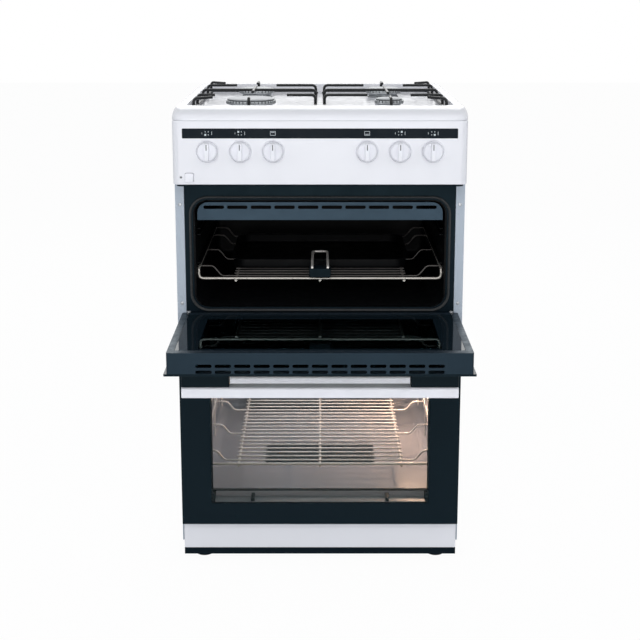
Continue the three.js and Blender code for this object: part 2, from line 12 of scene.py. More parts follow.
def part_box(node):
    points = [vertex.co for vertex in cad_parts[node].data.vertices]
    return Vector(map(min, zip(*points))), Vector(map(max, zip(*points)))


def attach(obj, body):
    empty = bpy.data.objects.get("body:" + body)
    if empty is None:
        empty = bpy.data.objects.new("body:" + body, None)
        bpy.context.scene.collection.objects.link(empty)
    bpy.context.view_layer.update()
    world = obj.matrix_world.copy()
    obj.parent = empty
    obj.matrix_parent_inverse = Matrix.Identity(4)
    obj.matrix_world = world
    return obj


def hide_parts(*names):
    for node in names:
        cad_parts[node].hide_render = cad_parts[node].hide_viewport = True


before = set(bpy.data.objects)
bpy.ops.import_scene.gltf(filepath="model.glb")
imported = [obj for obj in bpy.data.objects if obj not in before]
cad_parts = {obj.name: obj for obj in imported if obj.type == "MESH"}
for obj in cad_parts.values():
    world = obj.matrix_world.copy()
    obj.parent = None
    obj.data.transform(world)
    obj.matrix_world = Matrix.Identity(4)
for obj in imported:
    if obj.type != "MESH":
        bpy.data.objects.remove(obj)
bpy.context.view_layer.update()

bl_info = {
    "name": "Gas Range Pieces",
    "version": (1, 0, 0),
    "blender": (4, 5, 0),
    "location": "View3D > Sidebar > Gas Range",
    "description": "Models and finishes the pieces of a freestanding twin-cavity gas range",
    "category": "Object",
}

MM = 0.001
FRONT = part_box("side_panel_left")[0].y  # the body's front plane
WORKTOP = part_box("worktop")
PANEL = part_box("control_panel")
MOUTH_HALF = 241.5  # millimetres, half the width of an oven's mouth
CAVITY_HALF = 238  # millimetres, from the middle to an oven's side wall
HINGE_X = 253.5  # millimetres from the middle to each hinge arm
BURNERS = ("front_left", "front_right", "rear_left", "rear_right")
SIDES = (("left", -1), ("right", 1))


def at(x, y, z):
    """A point from millimetres: across, behind the body's front plane, and up."""
    return Vector((x * MM, FRONT + y * MM, z * MM))


class Door:
    """Where a door's pieces lie while it is closed, and its pivot; the upper one stands open at rest."""

    def __init__(self, name, pivot, top, bottom, frame_bottom, window, handle_top, opened):
        self.name = name
        self.pivot = pivot
        self.top = top
        self.bottom = bottom
        self.frame_bottom = frame_bottom
        self.window = window
        self.handle_top = handle_top
        self.opened = opened
        self.inner = -5
        self.outer = -47


TOP_DOOR = Door("top_door", (-20, 489), 751.5, 477, 480, (529, 725), 722.5, True)
MAIN_DOOR = Door("main_door", (-36, 108), 440, 84, 95, (128, 404), 401, False)

TOP_OVEN = {"name": "top_oven", "z": (512, 722), "depth": 470, "ledges": (582, 650)}
MAIN_OVEN = {"name": "main_oven", "z": (136, 410), "depth": 500, "ledges": (201, 280, 350)}


# ---- modelling by operators ----

def rest_all():
    """Leaves edit mode and selects nothing."""
    if bpy.context.object and bpy.context.object.mode != "OBJECT":
        bpy.ops.object.mode_set(mode="OBJECT")
    bpy.ops.object.select_all(action="DESELECT")


def choose(*pieces):
    """Selects only these pieces, the last one active."""
    rest_all()
    for piece in pieces:
        piece.select_set(True)
    bpy.context.view_layer.objects.active = pieces[-1]


def named(name):
    """The primitive just added, under its own name."""
    piece = bpy.context.object
    piece.name = name
    piece.data.name = name
    return piece


def settle(piece):
    """Puts a piece's place, turn and size into its mesh."""
    choose(piece)
    bpy.ops.object.transform_apply(location=True, rotation=True, scale=True)
    return piece


def applied(piece, modifier):
    """Applies a modifier that has been set up."""
    choose(piece)
    bpy.ops.object.modifier_apply(modifier=modifier.name)
    return piece


def smooth(piece, angle=35):
    """Smooth shading, with sharp edges kept where the surface turns by more than the angle."""
    choose(piece)
    bpy.ops.object.shade_smooth_by_angle(angle=math.radians(angle))
    return piece


def levelled(piece):
    """Keeps the shading of large flat faces flat beside their rounded edges."""
    normals = piece.modifiers.new("flat_faces", "WEIGHTED_NORMAL")
    normals.keep_sharp = True
    return applied(piece, normals)


def soften(piece, width, segments=3, angle=40):
    """Rounds the piece's edges by a small radius in millimetres."""
    bevel = piece.modifiers.new("soft_edges", "BEVEL")
    bevel.width = width * MM
    bevel.segments = segments
    bevel.limit_method = "ANGLE"
    bevel.angle_limit = math.radians(angle)
    applied(piece, bevel)
    return smooth(piece)


def edges_along(piece, axis):
    """In edit mode, selects the edges that run along an axis."""
    bpy.ops.object.mode_set(mode="EDIT")
    bpy.ops.mesh.select_mode(type="EDGE")
    bpy.ops.mesh.select_all(action="DESELECT")
    mesh = bmesh.from_edit_mesh(piece.data)
    for edge in mesh.edges:
        way = edge.verts[0].co - edge.verts[1].co
        edge.select = abs(way[axis]) > 0.99 * way.length
    bmesh.update_edit_mesh(piece.data)


def slab(name, low, high, axis=1, corner=0.0, edge=0.6, segments=8):
    """A slab between two corners: round corners seen along an axis, then softened edges."""
    rest_all()
    size = high - low
    bpy.ops.mesh.primitive_cube_add(size=1, location=(low + high) / 2)
    piece = named(name)
    piece.scale = size
    settle(piece)
    if corner:
        edges_along(piece, axis)
        bpy.ops.mesh.bevel(offset=corner * MM, segments=segments, affect="EDGES")
        bpy.ops.object.mode_set(mode="OBJECT")
    if edge:
        soften(piece, edge)
    return piece


def turned(name, profile, centre, sides=48, axis="Z", edge=0.0):
    """A turned piece: a circle extruded and scaled ring by ring along [radius, height] in millimetres."""
    rest_all()
    first = profile[0]
    bpy.ops.mesh.primitive_circle_add(
        vertices=sides, radius=first[0] * MM, fill_type="NGON", location=(0, 0, first[1] * MM))
    piece = settle(named(name))
    bpy.ops.object.mode_set(mode="EDIT")
    bpy.ops.mesh.select_mode(type="FACE")
    bpy.ops.mesh.select_all(action="SELECT")
    for (radius, height), (next_radius, next_height) in zip(profile, profile[1:]):
        rise = (0, 0, (next_height - height) * MM)
        bpy.ops.mesh.extrude_region_move(TRANSFORM_OT_translate={"value": rise})
        ratio = next_radius / radius
        bpy.ops.transform.resize(value=(ratio, ratio, 1), center_override=(0, 0, next_height * MM))
    bpy.ops.mesh.select_all(action="SELECT")
    bpy.ops.mesh.normals_make_consistent(inside=False)
    bpy.ops.object.mode_set(mode="OBJECT")
    if axis == "Y":
        piece.rotation_euler = (math.pi / 2, 0, 0)
    if axis == "X":
        piece.rotation_euler = (0, math.pi / 2, 0)
    piece.location = centre
    settle(piece)
    if edge:
        return soften(piece, edge, 2)
    return smooth(piece)


def arc(centre_r, centre_z, radius, start, end, steps=6):
    """Points of a round stretch of a turned profile, angles in degrees."""
    points = []
    for i in range(steps + 1):
        angle = math.radians(start + (end - start) * i / steps)
        points.append((centre_r + radius * math.cos(angle), centre_z + radius * math.sin(angle)))
    return points


def cut(piece, *tools):
    """Cuts tools out of a piece and removes them."""
    tool = tools[0]
    if len(tools) > 1:
        choose(*tools)
        bpy.ops.object.join()
        tool = bpy.context.object
    boolean = piece.modifiers.new("cut", "BOOLEAN")
    boolean.operation = "DIFFERENCE"
    boolean.solver = "EXACT"
    boolean.object = tool
    applied(piece, boolean)
    bpy.data.objects.remove(tool)
    return piece


def joined(name, *pieces):
    """Makes several solids one piece."""
    if len(pieces) > 1:
        choose(*pieces)
        bpy.ops.object.join()
    piece = bpy.context.object if len(pieces) > 1 else pieces[0]
    piece.name = name
    piece.data.name = name
    return piece


def bent(points, bend, steps=7):
    """A route with each of its corners rounded off, from points in metres and a reach in millimetres."""
    route = [points[0]]
    for before, corner, after in zip(points, points[1:], points[2:]):
        reach = min(bend * MM, (corner - before).length * 0.49, (corner - after).length * 0.49)
        start = corner + (before - corner).normalized() * reach
        end = corner + (after - corner).normalized() * reach
        for i in range(steps + 1):
            t = i / steps
            route.append(start * (1 - t) ** 2 + corner * 2 * t * (1 - t) + end * t ** 2)
    route.append(points[-1])
    return route


def wires(name, routes, radius, cyclic=False, resolution=4):
    """Round wires along routes, as one piece; the radius is in millimetres."""
    rest_all()
    bpy.ops.curve.primitive_bezier_curve_add()
    curve = bpy.context.object
    curve.data.splines.clear()
    curve.location = (0, 0, 0)
    for route in routes:
        spline = curve.data.splines.new("POLY")
        spline.points.add(len(route) - 1)
        for point, place in zip(spline.points, route):
            point.co = (*place, 1)
        spline.use_cyclic_u = cyclic
    curve.data.dimensions = "3D"
    curve.data.bevel_depth = radius * MM
    curve.data.bevel_resolution = resolution
    curve.data.use_fill_caps = True
    choose(curve)
    bpy.ops.object.convert(target="MESH")
    piece = named(name)
    bpy.ops.object.mode_set(mode="EDIT")
    bpy.ops.mesh.select_all(action="SELECT")
    bpy.ops.mesh.remove_doubles(threshold=1e-6)
    bpy.ops.mesh.normals_make_consistent(inside=False)
    bpy.ops.object.mode_set(mode="OBJECT")
    return smooth(piece, 50)


def swung(piece, door):
    """Turns a piece that was modelled on a closed door to where the door is at rest."""
    if door.opened:
        pivot = at(0, *door.pivot)
        turn = Matrix.Translation(pivot) @ Matrix.Rotation(math.pi / 2, 4, "X") @ Matrix.Translation(-pivot)
        piece.matrix_world = turn @ piece.matrix_world
        settle(piece)
    return piece


# ---- finishes ----

def srgb(code):
    """A colour written as six hex digits, as linear values."""
    parts = [int(code[i:i + 2], 16) / 255 for i in (0, 2, 4)]
    return tuple(c / 12.92 if c <= 0.04045 else ((c + 0.055) / 1.055) ** 2.4 for c in parts)


class Finish:
    """A node material being made, with short calls for what its patterns need."""

    def __init__(self, name):
        self.material = bpy.data.materials.new(name)
        self.material.use_nodes = True
        self.tree = self.material.node_tree
        self.shader = self.tree.nodes["Principled BSDF"]
        self.output = self.tree.nodes["Material Output"]
        self.place = self.add("ShaderNodeTexCoord").outputs["Object"]

    def add(self, kind, **values):
        node = self.tree.nodes.new(kind)
        for key, value in values.items():
            setattr(node, key, value)
        return node

    def join(self, source, target):
        self.tree.links.new(source, target)

    def stretched(self, scale):
        """The place on the piece, stretched by a factor on each axis."""
        node = self.add("ShaderNodeMapping")
        node.inputs["Scale"].default_value = scale
        self.join(self.place, node.inputs["Vector"])
        return node.outputs["Vector"]

    def noise(self, scale, detail=4.0, roughness=0.5, stretch=None):
        node = self.add("ShaderNodeTexNoise")
        node.inputs["Scale"].default_value = scale
        node.inputs["Detail"].default_value = detail
        node.inputs["Roughness"].default_value = roughness
        self.join(self.stretched(stretch) if stretch else self.place, node.inputs["Vector"])
        return node.outputs["Fac"]

    def cells(self, scale, feature="F1"):
        node = self.add("ShaderNodeTexVoronoi", feature=feature)
        node.inputs["Scale"].default_value = scale
        self.join(self.place, node.inputs["Vector"])
        return node

    def ranged(self, value, low, high, start=0.3, end=0.7):
        """A value taken from one range to another."""
        node = self.add("ShaderNodeMapRange")
        node.inputs["From Min"].default_value = start
        node.inputs["From Max"].default_value = end
        node.inputs["To Min"].default_value = low
        node.inputs["To Max"].default_value = high
        self.join(value, node.inputs["Value"])
        return node.outputs["Result"]

    def blend(self, factor, first, second):
        """A colour between two, each given as linear values."""
        node = self.add("ShaderNodeMix", data_type="RGBA")
        node.inputs["A"].default_value = (*first, 1)
        node.inputs["B"].default_value = (*second, 1)
        self.join(factor, node.inputs["Factor"])
        return node.outputs["Result"]

    def colour(self, value):
        if isinstance(value, tuple):
            self.shader.inputs["Base Color"].default_value = (*value, 1)
        else:
            self.join(value, self.shader.inputs["Base Color"])

    def rough(self, value):
        self.join(value, self.shader.inputs["Roughness"])

    def bump(self, height, strength, distance):
        """Relief from a height, its depth in millimetres."""
        node = self.add("ShaderNodeBump")
        node.inputs["Strength"].default_value = strength
        node.inputs["Distance"].default_value = distance * MM
        self.join(height, node.inputs["Height"])
        self.join(node.outputs["Normal"], self.shader.inputs["Normal"])

    def fixed(self, **values):
        """Numbers that are the same all over, set on the shader itself."""
        for key, value in values.items():
            self.shader.inputs[key.replace("_", " ")].default_value = value


def shade(colour, factor):
    return tuple(min(c * factor, 1) for c in colour)


def enamel(name, colour, fleck=0.0, low=0.14, high=0.26, sheen=0.5, tint=(1, 1, 1)):
    """Fused glass on steel: a glossy skin with a faint ripple, and flecks on an oven's lining."""
    finish = Finish(name)
    finish.fixed(Specular_IOR_Level=sheen, Specular_Tint=(*tint, 1))
    tone = finish.ranged(finish.noise(6, 3), 0, 1)
    base = finish.blend(tone, shade(colour, 0.985), shade(colour, 1.01))
    if fleck:
        spots = finish.cells(620).outputs["Distance"]
        mask = finish.ranged(spots, 1, 0, 0.10, 0.16)
        mix = finish.add("ShaderNodeMix", data_type="RGBA")
        mix.inputs["B"].default_value = (fleck, fleck, fleck, 1)
        finish.join(base, mix.inputs["A"])
        finish.join(mask, mix.inputs["Factor"])
        base = mix.outputs["Result"]
    finish.colour(base)
    finish.rough(finish.ranged(finish.noise(40, 5), low, high))
    finish.bump(finish.noise(210, 2), 0.06, 0.08)
    return finish.material


def moulded(name, colour, low, high, sheen=0.5, tint=(1, 1, 1)):
    """Injection-moulded plastic with a fine grain."""
    finish = Finish(name)
    finish.fixed(Specular_IOR_Level=sheen, Specular_Tint=(*tint, 1))
    tone = finish.ranged(finish.noise(30, 4), 0, 1)
    finish.colour(finish.blend(tone, shade(colour, 0.95), shade(colour, 1.03)))
    finish.rough(finish.ranged(finish.noise(60, 4), low, high))
    finish.bump(finish.noise(900, 2), 0.25, 0.04)
    return finish.material


def plated(name, colour, low, high, metallic):
    """Bright plated wire, slightly hazed in patches."""
    finish = Finish(name)
    finish.fixed(Metallic=metallic)
    finish.colour(finish.blend(finish.ranged(finish.noise(45, 5), 0, 1), shade(colour, 0.86), colour))
    finish.rough(finish.ranged(finish.noise(120, 5), low, high))
    return finish.material


def brushed(name, colour, stretch=(8, 1200, 1200), low=0.28, high=0.45):
    """Metal with a fine brushed grain along one axis."""
    finish = Finish(name)
    finish.fixed(Metallic=1.0)
    grain = finish.noise(1.0, 6, 0.6, stretch)
    finish.colour(finish.blend(finish.ranged(grain, 0, 1), shade(colour, 0.82), colour))
    finish.rough(finish.ranged(grain, low, high))
    finish.bump(grain, 0.2, 0.02)
    return finish.material


def cast(name, colour):
    """Cast aluminium: a fine granular skin, darker where heat has discoloured it."""
    finish = Finish(name)
    finish.fixed(Metallic=0.9)
    heat = finish.ranged(finish.noise(55, 4), 0, 1, 0.35, 0.75)
    finish.colour(finish.blend(heat, colour, shade(colour, 0.62)))
    finish.rough(finish.ranged(finish.noise(300, 4), 0.3, 0.5))
    finish.bump(finish.noise(1100, 3), 0.35, 0.08)
    return finish.material


def spangled(name, colour):
    """Zinc-coated sheet with its pattern of crystals."""
    finish = Finish(name)
    finish.fixed(Metallic=0.85)
    cells = finish.cells(95)
    split = finish.add("ShaderNodeSeparateColor")
    finish.join(cells.outputs["Color"], split.inputs["Color"])
    finish.colour(finish.blend(split.outputs["Red"], shade(colour, 0.78), shade(colour, 1.06)))
    finish.rough(finish.ranged(split.outputs["Green"], 0.35, 0.55, 0, 1))
    finish.bump(finish.noise(60, 3), 0.1, 0.1)
    return finish.material


def soft_rubber(name, colour):
    """Matt woven seal or rubber, with a fine rib."""
    finish = Finish(name)
    finish.colour(finish.blend(finish.ranged(finish.noise(80, 4), 0, 1), colour, shade(colour, 1.6)))
    finish.rough(finish.ranged(finish.noise(200, 3), 0.55, 0.75))
    finish.bump(finish.noise(700, 3), 0.5, 0.15)
    return finish.material


def sheet_coat(name, colour, low=0.3, high=0.45):
    """Dark coated sheet metal, satin."""
    finish = Finish(name)
    finish.fixed(Metallic=0.1, Specular_IOR_Level=0.3, Specular_Tint=(0.5, 0.8, 1.0, 1))
    tone = finish.ranged(finish.noise(9, 4), 0, 1)
    finish.colour(finish.blend(tone, shade(colour, 0.9), shade(colour, 1.1)))
    finish.rough(finish.ranged(finish.noise(90, 4), low, high))
    finish.bump(finish.noise(500, 2), 0.1, 0.05)
    return finish.material


def window_glass(name, print_colour, tint, window, axis, clear):
    """Door glass: black print round a clear window with round corners, given as (low, high) corners."""
    finish = Finish(name)
    finish.fixed(Roughness=0.05, IOR=1.3, Specular_IOR_Level=0.22, Specular_Tint=(0.6, 0.92, 1.0, 1))
    tone = finish.ranged(finish.noise(5, 3), 0, 1)
    finish.colour(finish.blend(tone, shade(print_colour, 0.92), print_colour))
    split = finish.add("ShaderNodeSeparateXYZ")
    finish.join(finish.place, split.inputs["Vector"])
    (low_x, low_v), (high_x, high_v), corner = window
    reach = []
    for output, low, high in (("X", low_x, high_x), (axis, low_v, high_v)):
        away = finish.add("ShaderNodeMath", operation="SUBTRACT")
        away.inputs[1].default_value = (low + high) / 2
        finish.join(split.outputs[output], away.inputs[0])
        size = finish.add("ShaderNodeMath", operation="ABSOLUTE")
        finish.join(away.outputs[0], size.inputs[0])
        over = finish.add("ShaderNodeMath", operation="SUBTRACT")
        over.inputs[1].default_value = (high - low) / 2 - corner
        finish.join(size.outputs[0], over.inputs[0])
        kept = finish.add("ShaderNodeMath", operation="MAXIMUM")
        kept.inputs[1].default_value = 0.0
        finish.join(over.outputs[0], kept.inputs[0])
        reach.append(kept.outputs[0])
    pair = finish.add("ShaderNodeCombineXYZ")
    finish.join(reach[0], pair.inputs["X"])
    finish.join(reach[1], pair.inputs["Y"])
    length = finish.add("ShaderNodeVectorMath", operation="LENGTH")
    finish.join(pair.outputs[0], length.inputs[0])
    mask = finish.ranged(length.outputs["Value"], 0, 1, corner - 0.0004, corner + 0.0004)
    through = finish.add("ShaderNodeBsdfTransparent")
    through.inputs["Color"].default_value = (*shade(tint, clear), 1)
    gloss = finish.add("ShaderNodeBsdfGlossy")
    gloss.inputs["Roughness"].default_value = 0.03
    gloss.inputs["Color"].default_value = (0.62, 0.82, 0.86, 1)
    fresnel = finish.add("ShaderNodeFresnel")
    fresnel.inputs["IOR"].default_value = 1.28
    pane = finish.add("ShaderNodeMixShader")
    finish.join(fresnel.outputs[0], pane.inputs[0])
    finish.join(through.outputs[0], pane.inputs[1])
    finish.join(gloss.outputs[0], pane.inputs[2])
    whole = finish.add("ShaderNodeMixShader")
    finish.join(mask, whole.inputs[0])
    finish.join(pane.outputs[0], whole.inputs[1])
    finish.join(finish.shader.outputs[0], whole.inputs[2])
    finish.join(whole.outputs[0], finish.output.inputs["Surface"])
    return finish.material


def lamp_glow(name, colour, strength):
    """The lit glass of the oven lamp."""
    finish = Finish(name)
    finish.colour(colour)
    finish.fixed(Roughness=0.2, Emission_Strength=strength)
    finish.join(finish.blend(finish.ranged(finish.noise(120, 3), 0, 1), shade(colour, 0.9), colour),
                finish.shader.inputs["Emission Color"])
    return finish.material


COOL = (0.5, 0.85, 1.0)  # reflections on black enamel and black plastic
STAIN = 0.62  # how dark heat has made the burner caps
WINDOW_CORNER = 3  # millimetres
CLEAR = {"outer": 0.88, "inner": 0.90}  # how much light each pane lets through

# name, maker, colour in the sidebar, and what the maker takes
FINISHES = (
    ("white_enamel", enamel, "white_enamel", {}),
    ("black_enamel", enamel, "black_enamel", {"low": 0.26, "high": 0.38, "sheen": 0.09, "tint": COOL}),
    ("cavity_enamel", enamel, "cavity_enamel", {"fleck": 0.012, "low": 0.34, "high": 0.5, "sheen": 0.08}),
    ("brown_enamel", enamel, "brown_enamel", {"fleck": 0.16, "low": 0.38, "high": 0.44, "sheen": 0.35}),
    # The flange finish is the white enamel darkened into painted shade.
    ("flange_enamel", enamel, "flange_enamel", {"low": 0.25, "high": 0.4}),
    ("black_wire", enamel, "wire_enamel", {"low": 0.25, "high": 0.42, "sheen": 0.3}),
    ("white_plastic", moulded, "white_plastic", {"low": 0.32, "high": 0.38}),
    ("black_plastic", moulded, "black_plastic", {"low": 0.4, "high": 0.55, "sheen": 0.12, "tint": COOL}),
    ("strip_print", moulded, "strip_print", {"low": 0.45, "high": 0.6, "sheen": 0.12}),
    ("print_mark", moulded, "print_mark", {"low": 0.4, "high": 0.5}),
    ("dark_mark", moulded, "dark_mark", {"low": 0.4, "high": 0.5}),
    ("ceramic", moulded, "white_plastic", {"low": 0.15, "high": 0.25}),
    ("bright_wire", plated, "bright_wire", {"low": 0.28, "high": 0.42, "metallic": 0.4}),
    # The next two are darker copies of bright_wire: painted shade for the shelf in the dim upper oven,
    # lighter on the frame and deeper on the cross wires.
    ("dull_wire", plated, "dull_wire", {"low": 0.25, "high": 0.4, "metallic": 0.6}),
    ("stained_wire", plated, "stained_wire", {"low": 0.3, "high": 0.45, "metallic": 0.7}),
    ("steel", brushed, "steel", {}),
    ("gas_brass", brushed, "brass", {}),
    ("burner_aluminium", cast, "burner", {}),
    ("zinc_sheet", spangled, "zinc", {}),
    ("seal_rubber", soft_rubber, "rubber", {}),
    ("coated_sheet", sheet_coat, "coated_sheet", {}),
    ("deflector_sheet", sheet_coat, "deflector", {"low": 0.35, "high": 0.5}),
    ("lamp_glass", lamp_glow, "lamp", {"strength": 26.0}),
)
MADE = {}


def finishes():
    """Makes every finish once, from the colours in the sidebar."""
    if MADE:
        return MADE
    paint = bpy.context.scene.range_colours
    for name, maker, colour, values in FINISHES:
        MADE[name] = maker(name, tuple(getattr(paint, colour)), **values)
    caps = shade(tuple(paint.steel), STAIN)
    MADE["cap_steel"] = brushed("cap_steel", caps, (300, 300, 300), 0.4, 0.55)
    for door in (TOP_DOOR, MAIN_DOOR):
        low, high = window_of(door)
        for word, clear in CLEAR.items():
            name = f"{door.name}_{word}_glass"
            MADE[name] = window_glass(name, tuple(paint.black_glass), tuple(paint.glass_tint),
                                      (low, high, WINDOW_CORNER * MM), "Y" if door.opened else "Z", clear)
    return MADE


def window_of(door):
    """The window's low and high corners: across, and along the door as it stands at rest."""
    half = 212 * MM
    low, high = door.window
    if door.opened:
        near = FRONT + (door.pivot[0] - (high - door.pivot[1])) * MM
        far = FRONT + (door.pivot[0] - (low - door.pivot[1])) * MM
        return (-half, near), (half, far)
    return (-half, low * MM), (half, high * MM)


def finished(piece, finish, body="root", replaces=()):
    """Gives a piece its finish, its body and the nodes that it stands for."""
    levelled(piece)
    piece.data.materials.clear()
    piece.data.materials.append(finishes()[finish])
    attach(piece, body)
    if replaces:
        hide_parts(*replaces)
    return piece


def coloured(name, description, code):
    """A colour property, its default written as six hex digits."""
    return FloatVectorProperty(name=name, description=description, subtype="COLOR", size=3, min=0, max=1,
                               default=srgb(code))


def radius_of(name, description, default, low, high):
    """A property that holds a radius in millimetres."""
    return FloatProperty(name=name, description=f"Radius of {description}, in millimetres", default=default,
                         min=low, max=high)


class RangeColours(PropertyGroup):
    """The colours of the range's finishes."""

    white_enamel: coloured("White enamel", "Body, worktop and control panel", "e3e4ea")
    black_enamel: coloured("Black enamel", "Front frame round the oven mouths", "0d151c")
    cavity_enamel: coloured("Cavity enamel", "Lining of the upper oven", "07080a")
    brown_enamel: coloured("Brown enamel", "Lining of the main oven", "87888f")
    white_plastic: coloured("White plastic", "Knobs, button and handles", "e9eaf1")
    black_plastic: coloured("Black plastic", "Handle posts, strip and grip", "0c1217")
    strip_print: coloured("Strip print", "Dark strip of the control panel", "0a141c")
    print_mark: coloured("Light marks", "Symbols on the dark strip", "c4ccd2")
    dark_mark: coloured("Dark marks", "Lines on the knobs", "33373c")
    bright_wire: coloured("Bright wire", "Shelf and side racks of the main oven", "e6e2de")
    # The next two are bright_wire darkened into painted shade for the shelf of the dim upper oven.
    dull_wire: coloured("Dull wire", "Shelf frame of the upper oven", "b5b0a9")
    stained_wire: coloured("Stained wire", "Cross wires of the upper oven's shelf", "4a4745")
    # The flanges' grey-blue is painted shade: the white enamel darkened to the shade of their recess beside
    # the doors.
    flange_enamel: coloured("Flange enamel", "Front flanges of the side panels", "a9b4c1")
    steel: coloured("Steel", "Caps and hinges", "a9adb1")
    burner: coloured("Burner metal", "Cast burner bodies", "b6babd")
    zinc: coloured("Zinc sheet", "Rear panel", "b1b5b8")
    brass: coloured("Brass", "Gas fittings", "c5a565")
    rubber: coloured("Seals and feet", "Door seals and feet", "16181a")
    wire_enamel: coloured("Pan support enamel", "Pan supports", "0d1214")
    coated_sheet: coloured("Coated sheet", "Door frames and burner guards", "18212a")
    deflector: coloured("Deflector", "Slotted deflector of the upper oven", "35424e")
    black_glass: coloured("Black print", "Print on the door glass", "121c23")
    glass_tint: coloured("Glass tint", "Clear part of the door glass", "fbf9f6")
    lamp: coloured("Lamp", "Oven lamp", "ffd9a0")


class RangeSizes(PropertyGroup):
    """Sizes that change how the range looks and not where its pieces are."""

    support_wire: radius_of("Pan support wire", "the pan supports' wire", 2.9, 2.5, 3.8)
    shelf_wire: radius_of("Shelf cross wire", "the shelves' cross wires", 1.75, 1, 2.5)
    shelf_frame_wire: radius_of("Shelf frame wire", "the shelves' frame wires", 2.5, 1.5, 3)
    handle_edge: radius_of("Handle edge", "the handles' long edges", 4.5, 1, 9)


# ---- body ----

class RANGE_OT_body(Operator):
    """Side panels, rear panel, base plate, feet, bottom panel and front frame"""
    bl_idname = "gas_range.body"
    bl_label = "Body"

    def execute(self, context):
        for word, side in SIDES:
            self.side_panel(word, side)
            for end in ("front", "rear"):
                self.foot(f"foot_{end}_{word}")
        self.plinth_panel()
        self.front_frame()
        self.keep("rear_panel", "zinc_sheet")
        self.keep("base_plate", "black_enamel")
        self.rear_screws()
        return {"FINISHED"}

    def keep(self, node, finish):
        """A CAD node whose shape is right keeps it and gets its finish."""
        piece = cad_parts[node]
        piece.data.materials.clear()
        piece.data.materials.append(finishes()[finish])

    def side_panel(self, word, side):
        node = f"side_panel_{word}"
        low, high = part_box(node)
        outer = slab(f"{node}_sheet", Vector((low.x, low.y + 2.05 * MM, low.z)), high, edge=0)
        inner_low = Vector((low.x + 2 * MM, low.y - MM, low.z - MM))
        inner_high = Vector((high.x - 2 * MM, high.y - 2 * MM, high.z + MM))
        if side < 0:
            inner_high.x = high.x + MM
        else:
            inner_low.x = low.x - MM
        cut(outer, slab("hollow", inner_low, inner_high, edge=0))
        soften(outer, 0.8, 3)
        finished(outer, "white_enamel", replaces=(node,))
        # The flange gets the white enamel darkened to grey-blue: painted shade of its recess beside the
        # doors.
        flange = slab(f"{node}_flange", low, Vector((high.x, low.y + 2 * MM, high.z)), edge=0.5)
        finished(flange, "flange_enamel", replaces=(node,))
        screws = []
        for z in (520, 713):
            screws.append(turned("screw", [(3.4, 0), (3.2, 0.9), (2, 1.3)], at(side * 266, 0, z), 20, "Y"))
        finished(joined(f"{node}_screws", *screws), "steel")

    def foot(self, node):
        low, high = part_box(node)
        centre = Vector(((low.x + high.x) / 2, (low.y + high.y) / 2, low.z))
        profile = [(15.5, 0), (17.4, 0.5), (18, 2), (18, 5.5), (17, 7.4), (14, 8.5), (9.5, 8.9), (9.5, 14),
                   (5.2, 14.2)]
        for i in range(6):
            z = 15 + i * 1.9
            profile += [(5.2, z), (4.5, z + 0.95)]
        profile.append((5, 26.9))
        piece = turned(f"{node}_pad", profile, centre, 32)
        finished(piece, "black_plastic", replaces=(node,))

    def plinth_panel(self):
        low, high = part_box("plinth_panel")
        face = slab("plinth_face", low, Vector((high.x, low.y + 2 * MM, high.z)), corner=2.5, edge=0.7)
        fold = slab("plinth_fold", Vector((low.x + 4 * MM, low.y + 1.5 * MM, high.z - 2 * MM)),
                    Vector((high.x - 4 * MM, high.y, high.z - 0.1 * MM)), edge=0.5)
        piece = joined("plinth_panel_sheet", fold, face)
        finished(piece, "white_enamel", replaces=("plinth_panel",))

    def front_frame(self):
        low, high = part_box("front_frame")
        half = 257.7
        plate = slab("frame_plate", at(-half, 0, low.z / MM), at(half, 2, high.z / MM), edge=0)
        tools = []
        for oven in (TOP_OVEN, MAIN_OVEN):
            z0, z1 = oven["z"]
            tools.append(slab("mouth", at(-MOUTH_HALF, -9, z0), at(MOUTH_HALF, 9, z1), corner=28, edge=0,
                              segments=14))
        for door in (TOP_DOOR, MAIN_DOOR):
            for _, side in SIDES:
                x = side * HINGE_X
                z = door.pivot[1]
                tools.append(slab("slot", at(x - 1.8, -9, z - 7), at(x + 1.8, 9, z + 7), edge=0))
        cut(plate, *tools)
        soften(plate, 0.6, 2, 60)
        guide = slab("air_guide", Vector((low.x, low.y, high.z - 2 * MM)), Vector((high.x, FRONT, high.z)),
                     axis=2, corner=10, edge=0.5)
        piece = joined("front_frame_plate", guide, plate)
        finished(piece, "black_enamel", replaces=("front_frame",))

    def rear_screws(self):
        """Pan-head screws along the rear panel's edges."""
        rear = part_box("rear_panel")[1].y
        heads = []
        profile = [(4, -0.4), (4, 0.9), (3.2, 1.8), (1.5, 2.2)]
        for x in (-266, 266):
            for z in (60, 320, 580, 840):
                heads.append(turned("head", profile, Vector((x * MM, rear, z * MM)), 24, "Y"))
        for head in heads:
            head.rotation_euler = (0, 0, math.pi)
            head.location = (0, 2 * rear, 0)
            settle(head)
        finished(joined("rear_screws", *heads), "steel")


# ---- hob ----

